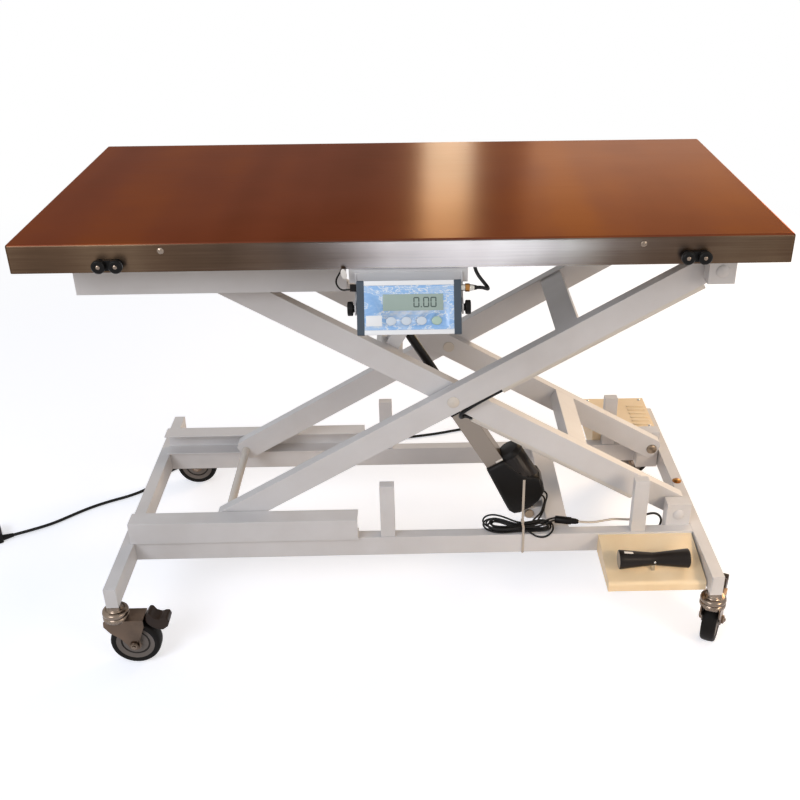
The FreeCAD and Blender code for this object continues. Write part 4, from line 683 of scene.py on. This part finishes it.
for name, x in KEYS.items():
    punch = turned("key_punch_" + name, [(8.6, -3), (8.6, 3)], film_blue, steps=40,
                   stand=key_stand(x))
    hole = overlay.modifiers.new("hole_" + name, "BOOLEAN")
    hole.operation = "DIFFERENCE"
    hole.object = punch
    only(overlay)
    bpy.ops.object.modifier_apply(modifier=hole.name)
    bpy.data.objects.remove(punch)
settle(overlay, "display", "white_plastic")

# silicone rubber keys: oval and milky, the last one greenish
key_white = surface("white_silicone", "#D6E1EC", 0.45, grain=0.8, relief=0.02)
key_green = surface("green_silicone", "#B4CDBE", 0.45, grain=0.8, relief=0.02)
for name, x in KEYS.items():
    key = turned("key_" + name + "_dome", [(8.4, -1.8), (8.4, 0.3), (7.9, 0.8), (5.6, 1.1),
                                           (2.5, 1.2), (0.3, 1.2)],
                 key_green if name == "power" else key_white, steps=40,
                 stand=key_stand(x))
    settle(key, "key_" + name, "white_plastic", "display_key_" + name)

# the window: a grey-green liquid crystal panel; its reading is in upright bar digits
panel_green = surface("liquid_crystal_panel", "#A6B8B0", 0.16, grain=3.0, shade="#9AAEA6")
panel = slab("window_panel", (-43, -16.2, -5), (56, -15.2, 22), 0.2, panel_green, DISPLAY)
settle(panel, "display", "white_plastic")
digit_dark = surface("liquid_crystal_segment", "#4A5A55", 0.3, grain=2.0)
BAR_FRONT, BAR_BACK, BAR_EASE = -16.28, -16.15, 0.04
bars = [slab("reading", (19, BAR_FRONT, 0), (21, BAR_BACK, 2), BAR_EASE, digit_dark, DISPLAY)]
for left in (7, 23, 35):
    for low, high in (((1.2, 0), (8.8, 2)), ((1.2, 15), (8.8, 17)), ((0, 1.2), (2, 8)),
                      ((0, 9), (2, 15.8)), ((8, 1.2), (10, 8)), ((8, 9), (10, 15.8))):
        bars.append(slab("bar", (left + low[0], BAR_FRONT, low[1]),
                         (left + high[0], BAR_BACK, high[1]), BAR_EASE, digit_dark, DISPLAY))
only(bars[0])
for bar in bars:
    bar.select_set(True)
bpy.ops.object.join()
settle(bars[0], "display", "black_plastic")
blank = slab("blank_label", (-71, -15.75, -30), (-45, -15.2, -12.5), 0.15, strip_white, DISPLAY)
settle(blank, "display", "white_plastic")

finished("display_knobs", black_moulding, 0.6, 50)
# the right plug has a plated shell with a brass ring; the left one is black all over
SHELL_LEFT, RING_LEFT, RING_RIGHT, SHELL_RIGHT = 93.8, 101, 108.2, 115.5
plugs = finished("display_plugs", black_moulding, 0.5, 45)
repaint(plugs, bright_zinc, lambda point, normal: SHELL_LEFT < point.x < SHELL_RIGHT)
repaint(plugs, brass, lambda point, normal: RING_LEFT < point.x < RING_RIGHT)

# a small blank oval tag hangs on the left wire
bpy.ops.object.select_all(action="DESELECT")
bpy.ops.mesh.primitive_cylinder_add(vertices=32, radius=0.0065, depth=0.001)
tag = bpy.context.object
tag.name = "blank_tag"
bpy.ops.object.mode_set(mode="EDIT")
bpy.ops.mesh.select_all(action="SELECT")
bpy.ops.transform.resize(value=(0.75, 1.35, 1))
bpy.ops.mesh.bevel(offset=0.0003, segments=2, affect="EDGES")
bpy.ops.object.mode_set(mode="OBJECT")
tag.matrix_world = (Matrix.Translation(place(-99, -330.5, 827)) @
                    Matrix.Rotation(math.radians(82), 4, "X") @
                    Matrix.Rotation(math.radians(14), 4, "Z"))
only(tag)
bpy.ops.object.transform_apply(location=True, rotation=True, scale=True)
bpy.ops.object.shade_smooth_by_angle(angle=math.radians(40))
tag.data.materials.append(sticker)
settle(tag, "top", "white_plastic")

# ------------------------------------------------------------------ cords and cables
# Flex with a black PVC sheath. The mains cord lies on the floor behind the table and ends in
# an angled plug; the motor's two thin cables are wound into a hank, tied to the front rail.

# flexible PVC: dull black with a slight shine
black_sheath = surface("black_pvc_sheath", "#0F0E0D", 0.38, grain=1.2, relief=0.03,
                       Specular_IOR_Level=0.25)
# the foot switch's lead is cream as far as the post and black PVC beyond it
lead_sheath = surface("cream_and_black_sheath", "#14110F", 0.42, grain=1.2, relief=0.03,
                      shade="#C9BEB0")
tree = lead_sheath.node_tree
at = add(tree, "ShaderNodeTexCoord")
part_way = add(tree, "ShaderNodeSeparateXYZ", Vector=at.outputs["Object"])
CREAM_UNTIL, BLACK_FROM = 0.487, 0.495
change = add(tree, "ShaderNodeMapRange", Value=part_way.outputs["X"], From_Min=CREAM_UNTIL,
             From_Max=BLACK_FROM)
tint = next(node for node in tree.nodes if node.type == "VALTORGB")
tree.links.new(change.outputs["Result"], tint.inputs["Fac"])


def route(name, points, thick):
    """A curve of one spline whose control points are in mm, thick mm across."""
    line = bpy.data.curves.new(name, "CURVE")
    line.dimensions = "3D"
    spline = line.splines.new("NURBS")
    spline.points.add(len(points) - 1)
    for knot, point in zip(spline.points, points):
        knot.co = (*place(*point), 1.0)
    spline.order_u = 3
    spline.use_endpoint_u = True
    spline.resolution_u = 8
    line.bevel_depth = thick / 2000
    line.bevel_resolution = 4
    line.use_fill_caps = True
    piece = bpy.data.objects.new(name, line)
    scene.collection.objects.link(piece)
    return piece


def middle_line(piece):
    """The points that a route's spline follows, and its length in metres."""
    bare = piece.data.copy()
    bare.bevel_depth = 0
    probe = bpy.data.objects.new("probe", bare)
    scene.collection.objects.link(probe)
    bpy.context.view_layer.update()
    line = bpy.data.meshes.new_from_object(probe.evaluated_get(
        bpy.context.evaluated_depsgraph_get()))
    points = [vertex.co.copy() for vertex in line.vertices]
    bpy.data.objects.remove(probe)
    length = sum((b - a).length for a, b in zip(points, points[1:]))
    print("%s: %.0f mm" % (piece.name, length * 1000))
    return points, length


def cable(name, node, points, thick, paint):
    piece = route(name, points, thick)
    piece.data.materials.append(paint)
    length = middle_line(piece)[1]
    settle(piece, body_of[node], slot_of[node], node)


cable("mains_flex", "mains_cord", [
    (470, 360, 158), (470, 390, 158), (470, 422, 142), (466, 448, 112), (458, 468, 78),
    (446, 490, 45), (425, 516, 18), (390, 540, 5), (344, 560, 4), (292, 572, 4), (236, 575, 4),
    (184, 568, 4), (132, 556, 4), (78, 538, 4), (20, 525, 4), (-44, 514, 4), (-112, 502, 4),
    (-184, 488, 4), (-258, 468, 4), (-330, 446, 4), (-398, 424, 4), (-462, 408, 4),
    (-520, 403, 4), (-572, 404, 4), (-618, 391, 4), (-647, 360, 4), (-660, 322, 4),
    (-680, 284, 4), (-717, 254, 4), (-764, 231, 4), (-806, 204, 4), (-842, 172, 4),
    (-876, 139, 5), (-916.381, 110.871, 7.4), (-955.029, 92.021, 7.4)],
      7.5, black_sheath)
cable("pedal_lead", "pedal_cable", [
    (353.9, -161.4, 196), (368.6, -164.5, 196), (386, -165.5, 196.5), (406, -161.5, 197.5),
    (428, -155.5, 197), (449, -152, 193), (470, -151, 191), (488, -151, 198), (504, -152, 207),
    (520, -153, 208), (531, -154, 196), (530, -155, 180), (522, -156, 164), (513, -157, 149),
    (505, -157, 134), (500, -162, 121), (497, -174, 114), (493, -190, 113), (489, -206, 116),
    (487, -220, 121), (486, -231, 130), (486, -235, 140), (486, -235, 150)],
      5, lead_sheath)
cable("arm_loop", "centre_loop", [
    (187.7, -140.5, 503.8), (170.4, -140.5, 493.8), (152, -140.5, 483.2), (135.5, -139, 472),
    (121, -136, 460), (108, -133, 449), (104, -127, 437), (107, -118, 429),
    (116.7, -112.5, 431.3), (128.8, -112.5, 424.3)],
      8, black_sheath)
cable("display_lead_right", "display_cable_right", [
    (121, -343.17, 805.08), (128, -343.17, 805.08), (134.6, -341.6, 802.6),
    (139, -337.2, 799.4), (140.4, -330.8, 797.8), (138.8, -324.2, 798.8), (135, -318.2, 802),
    (130.2, -312.6, 806.4), (125.2, -307.6, 811.8), (121, -303.4, 818.8), (118.6, -300.8, 827.5),
    (118, -300, 837.5), (118, -300, 852)],
      6, black_sheath)
cable("display_lead_left", "display_cable_left", [
    (-89, -341.4, 804), (-94, -341.4, 804), (-99, -340.4, 802.4), (-104, -337.6, 802.2),
    (-108.4, -333.4, 804), (-112, -328, 807.2), (-113.4, -321.6, 811), (-112, -315, 814.6),
    (-108.6, -309.4, 818.6), (-105, -304.8, 823.8), (-102.8, -301.4, 830.6), (-102, -300, 839),
    (-102, -300, 852)],
      3, black_sheath)

# the motor's two cables: down from the gear case, two and a half turns each through the tie,
# the outer one with a turn that hangs over the rail's edge, and on to the connector
LEAD_THICK = 4
for name, nodes, points in (
        ("motor_lead", ["motor_cable", "cable_hank"], [
            (287.62, -72, 215.89), (291.6, -72, 214.1), (295.2, -74.2, 211.3),
            (297, -78, 208.5), (295.8, -84.4, 205.4), (292.2, -93, 202.2), (289.2, -103, 198.8),
            (286.2, -113.4, 195.8), (282, -123.6, 193), (276.4, -133, 190.6),
            (270.6, -142, 188.6), (266, -150.5, 187.5), (261, -159, 187.2), (250, -166, 187.2),
            (234, -168.2, 187.3), (218, -164, 187.4), (203, -155.5, 187.5), (188, -146, 187.6),
            (174, -143.5, 187.8), (164.5, -150, 188), (162.5, -161, 188.3),
            (168, -171.5, 188.6), (180, -178.5, 188.9), (197, -181, 189.2),
            (216, -178.5, 189.5), (234, -176.8, 189.8), (254, -177.4, 190.2),
            (267, -178.4, 190.3), (280, -178, 190.4), (289, -172.6, 190.6),
            (289, -162.8, 190.8), (280, -157.6, 191.1), (267, -159, 191.4),
            (252, -164.4, 191.9), (234, -168.2, 192), (218, -165, 192.2),
            (204, -158.5, 192.4), (190, -151, 192.7),
            (178.5, -149.5, 193), (171, -155, 193.2), (170, -164, 193.4),
            (176, -171.8, 193.6), (188, -176, 193.8), (202, -177.6, 194), (218, -177.2, 194.2),
            (234, -176.8, 194.5), (252, -177.8, 194.6), (267, -178.8, 194.7),
            (280, -178.4, 194.8), (289, -173, 195), (289.3, -163, 195.2),
            (280.5, -157.4, 195.5), (268.5, -158.4, 195.9), (256, -162.8, 196.4),
            (234, -168.2, 196.8), (219, -165.4, 197), (204, -159.5, 197.2), (190, -152.5, 197.4),
            (177, -149.6, 197.7), (167.5, -154, 198), (165.6, -164, 198.2), (172, -173, 198.4),
            (186, -177.4, 198.6), (202, -178, 198.7), (218, -177.2, 198.8),
            (234, -176.8, 198.8), (252, -176.4, 199.3), (268, -171.5, 200.2),
            (282, -163.5, 200.8), (294, -154.6, 200.2), (305.4, -148.8, 198)]),
        ("motor_lead_second", ["motor_cable_second", "cable_hank"], [
            (283.2, -72, 205.46), (286.9, -72, 203.8), (290.5, -74.2, 201.1),
            (292.3, -78, 198.3), (291.4, -84.4, 196), (288.4, -93, 194.2), (285, -103, 192.2),
            (281.6, -113, 190.8), (276.6, -122.6, 190), (269.6, -131, 189.4),
            (262.4, -139.4, 188.6), (257.6, -148, 187.8), (250, -157.5, 187.3),
            (243, -161.6, 187.2), (234, -163.2, 187.3), (220, -158, 187.4), (205, -149, 187.5),
            (190, -138.5, 187.6), (174, -132.6, 187.8), (160.5, -137, 188), (153, -149, 188.2),
            (153.5, -162, 188.5), (161, -174.5, 188.8), (176, -183.6, 189), (196, -186, 189.3),
            (216, -183.6, 189.6), (234, -182, 189.9), (256, -183.2, 190.1), (279, -183.2, 190.2),
            (294.5, -174.6, 190.3), (294.5, -157.6, 190.5), (280, -151.2, 190.9),
            (258, -157.6, 191.6), (234, -163.2, 192.1), (220, -159, 192.3),
            (206, -151.5, 192.5), (191, -143, 192.7), (177, -138.6, 192.9),
            (165, -143.4, 193.1), (159, -153.6, 193.3), (159.6, -165, 193.5),
            (166.5, -175.2, 193.7), (180, -181.6, 193.9), (198, -183.4, 194.1),
            (217, -182.6, 194.3), (232, -182, 194.4), (243, -185.4, 193.4), (252, -190.2, 189),
            (262, -190.4, 181.4), (274, -190.4, 178.2), (285, -190.4, 181.6),
            (293, -188.6, 188.6), (298.6, -180.5, 193), (298.6, -167.5, 194.6),
            (291, -155.6, 195.4), (275, -151.6, 195.9), (257, -157.8, 196.5),
            (234, -163.2, 196.9), (220, -158, 197.1), (206, -147.6, 197.3),
            (190, -136.4, 197.5), (172, -131.6, 197.7), (158, -138.6, 197.9),
            (151.8, -151.6, 198.1), (153.2, -165, 198.3), (162, -176.6, 198.5),
            (178, -184.6, 198.6), (198, -186, 198.7), (217, -183.4, 198.8), (234, -182, 198.8),
            (256, -181.4, 198.8), (274, -176.4, 199), (288, -168.5, 199.4), (298, -160, 198.6),
            (305.8, -154, 196)])):
    lead = route(name, points, LEAD_THICK)
    lead.data.materials.append(black_sheath)
    path, length = middle_line(lead)
    only(lead)
    bpy.ops.object.convert(target="MESH")
    lead = bpy.context.object
    bpy.ops.object.shade_smooth()
    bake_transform(lead)
    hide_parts(*nodes)

# uncoloured nylon: milky and yellowed, with a slight shine
tie_nylon = surface("natural_nylon_tie", "#B9AFA3", 0.32, grain=1.0, relief=0.02)
finished("cable_tie", tie_nylon, 0.25)
finished("inline_connector", black_moulding, 0.4, 45)

# the plug: two round pins, an angled moulded body and a ribbed strain relief
plug = finished("mains_plug", black_moulding, 0.8, 45)
PLUG = (Matrix.Translation(place(-976.6, 81.5, 0)) @
        Matrix.Rotation(math.radians(26), 4, "Z")).inverted()
PINS_FROM = 0.0424
repaint(plug, bright_steel, lambda point, normal: (PLUG @ place(*point)).y > PINS_FROM)
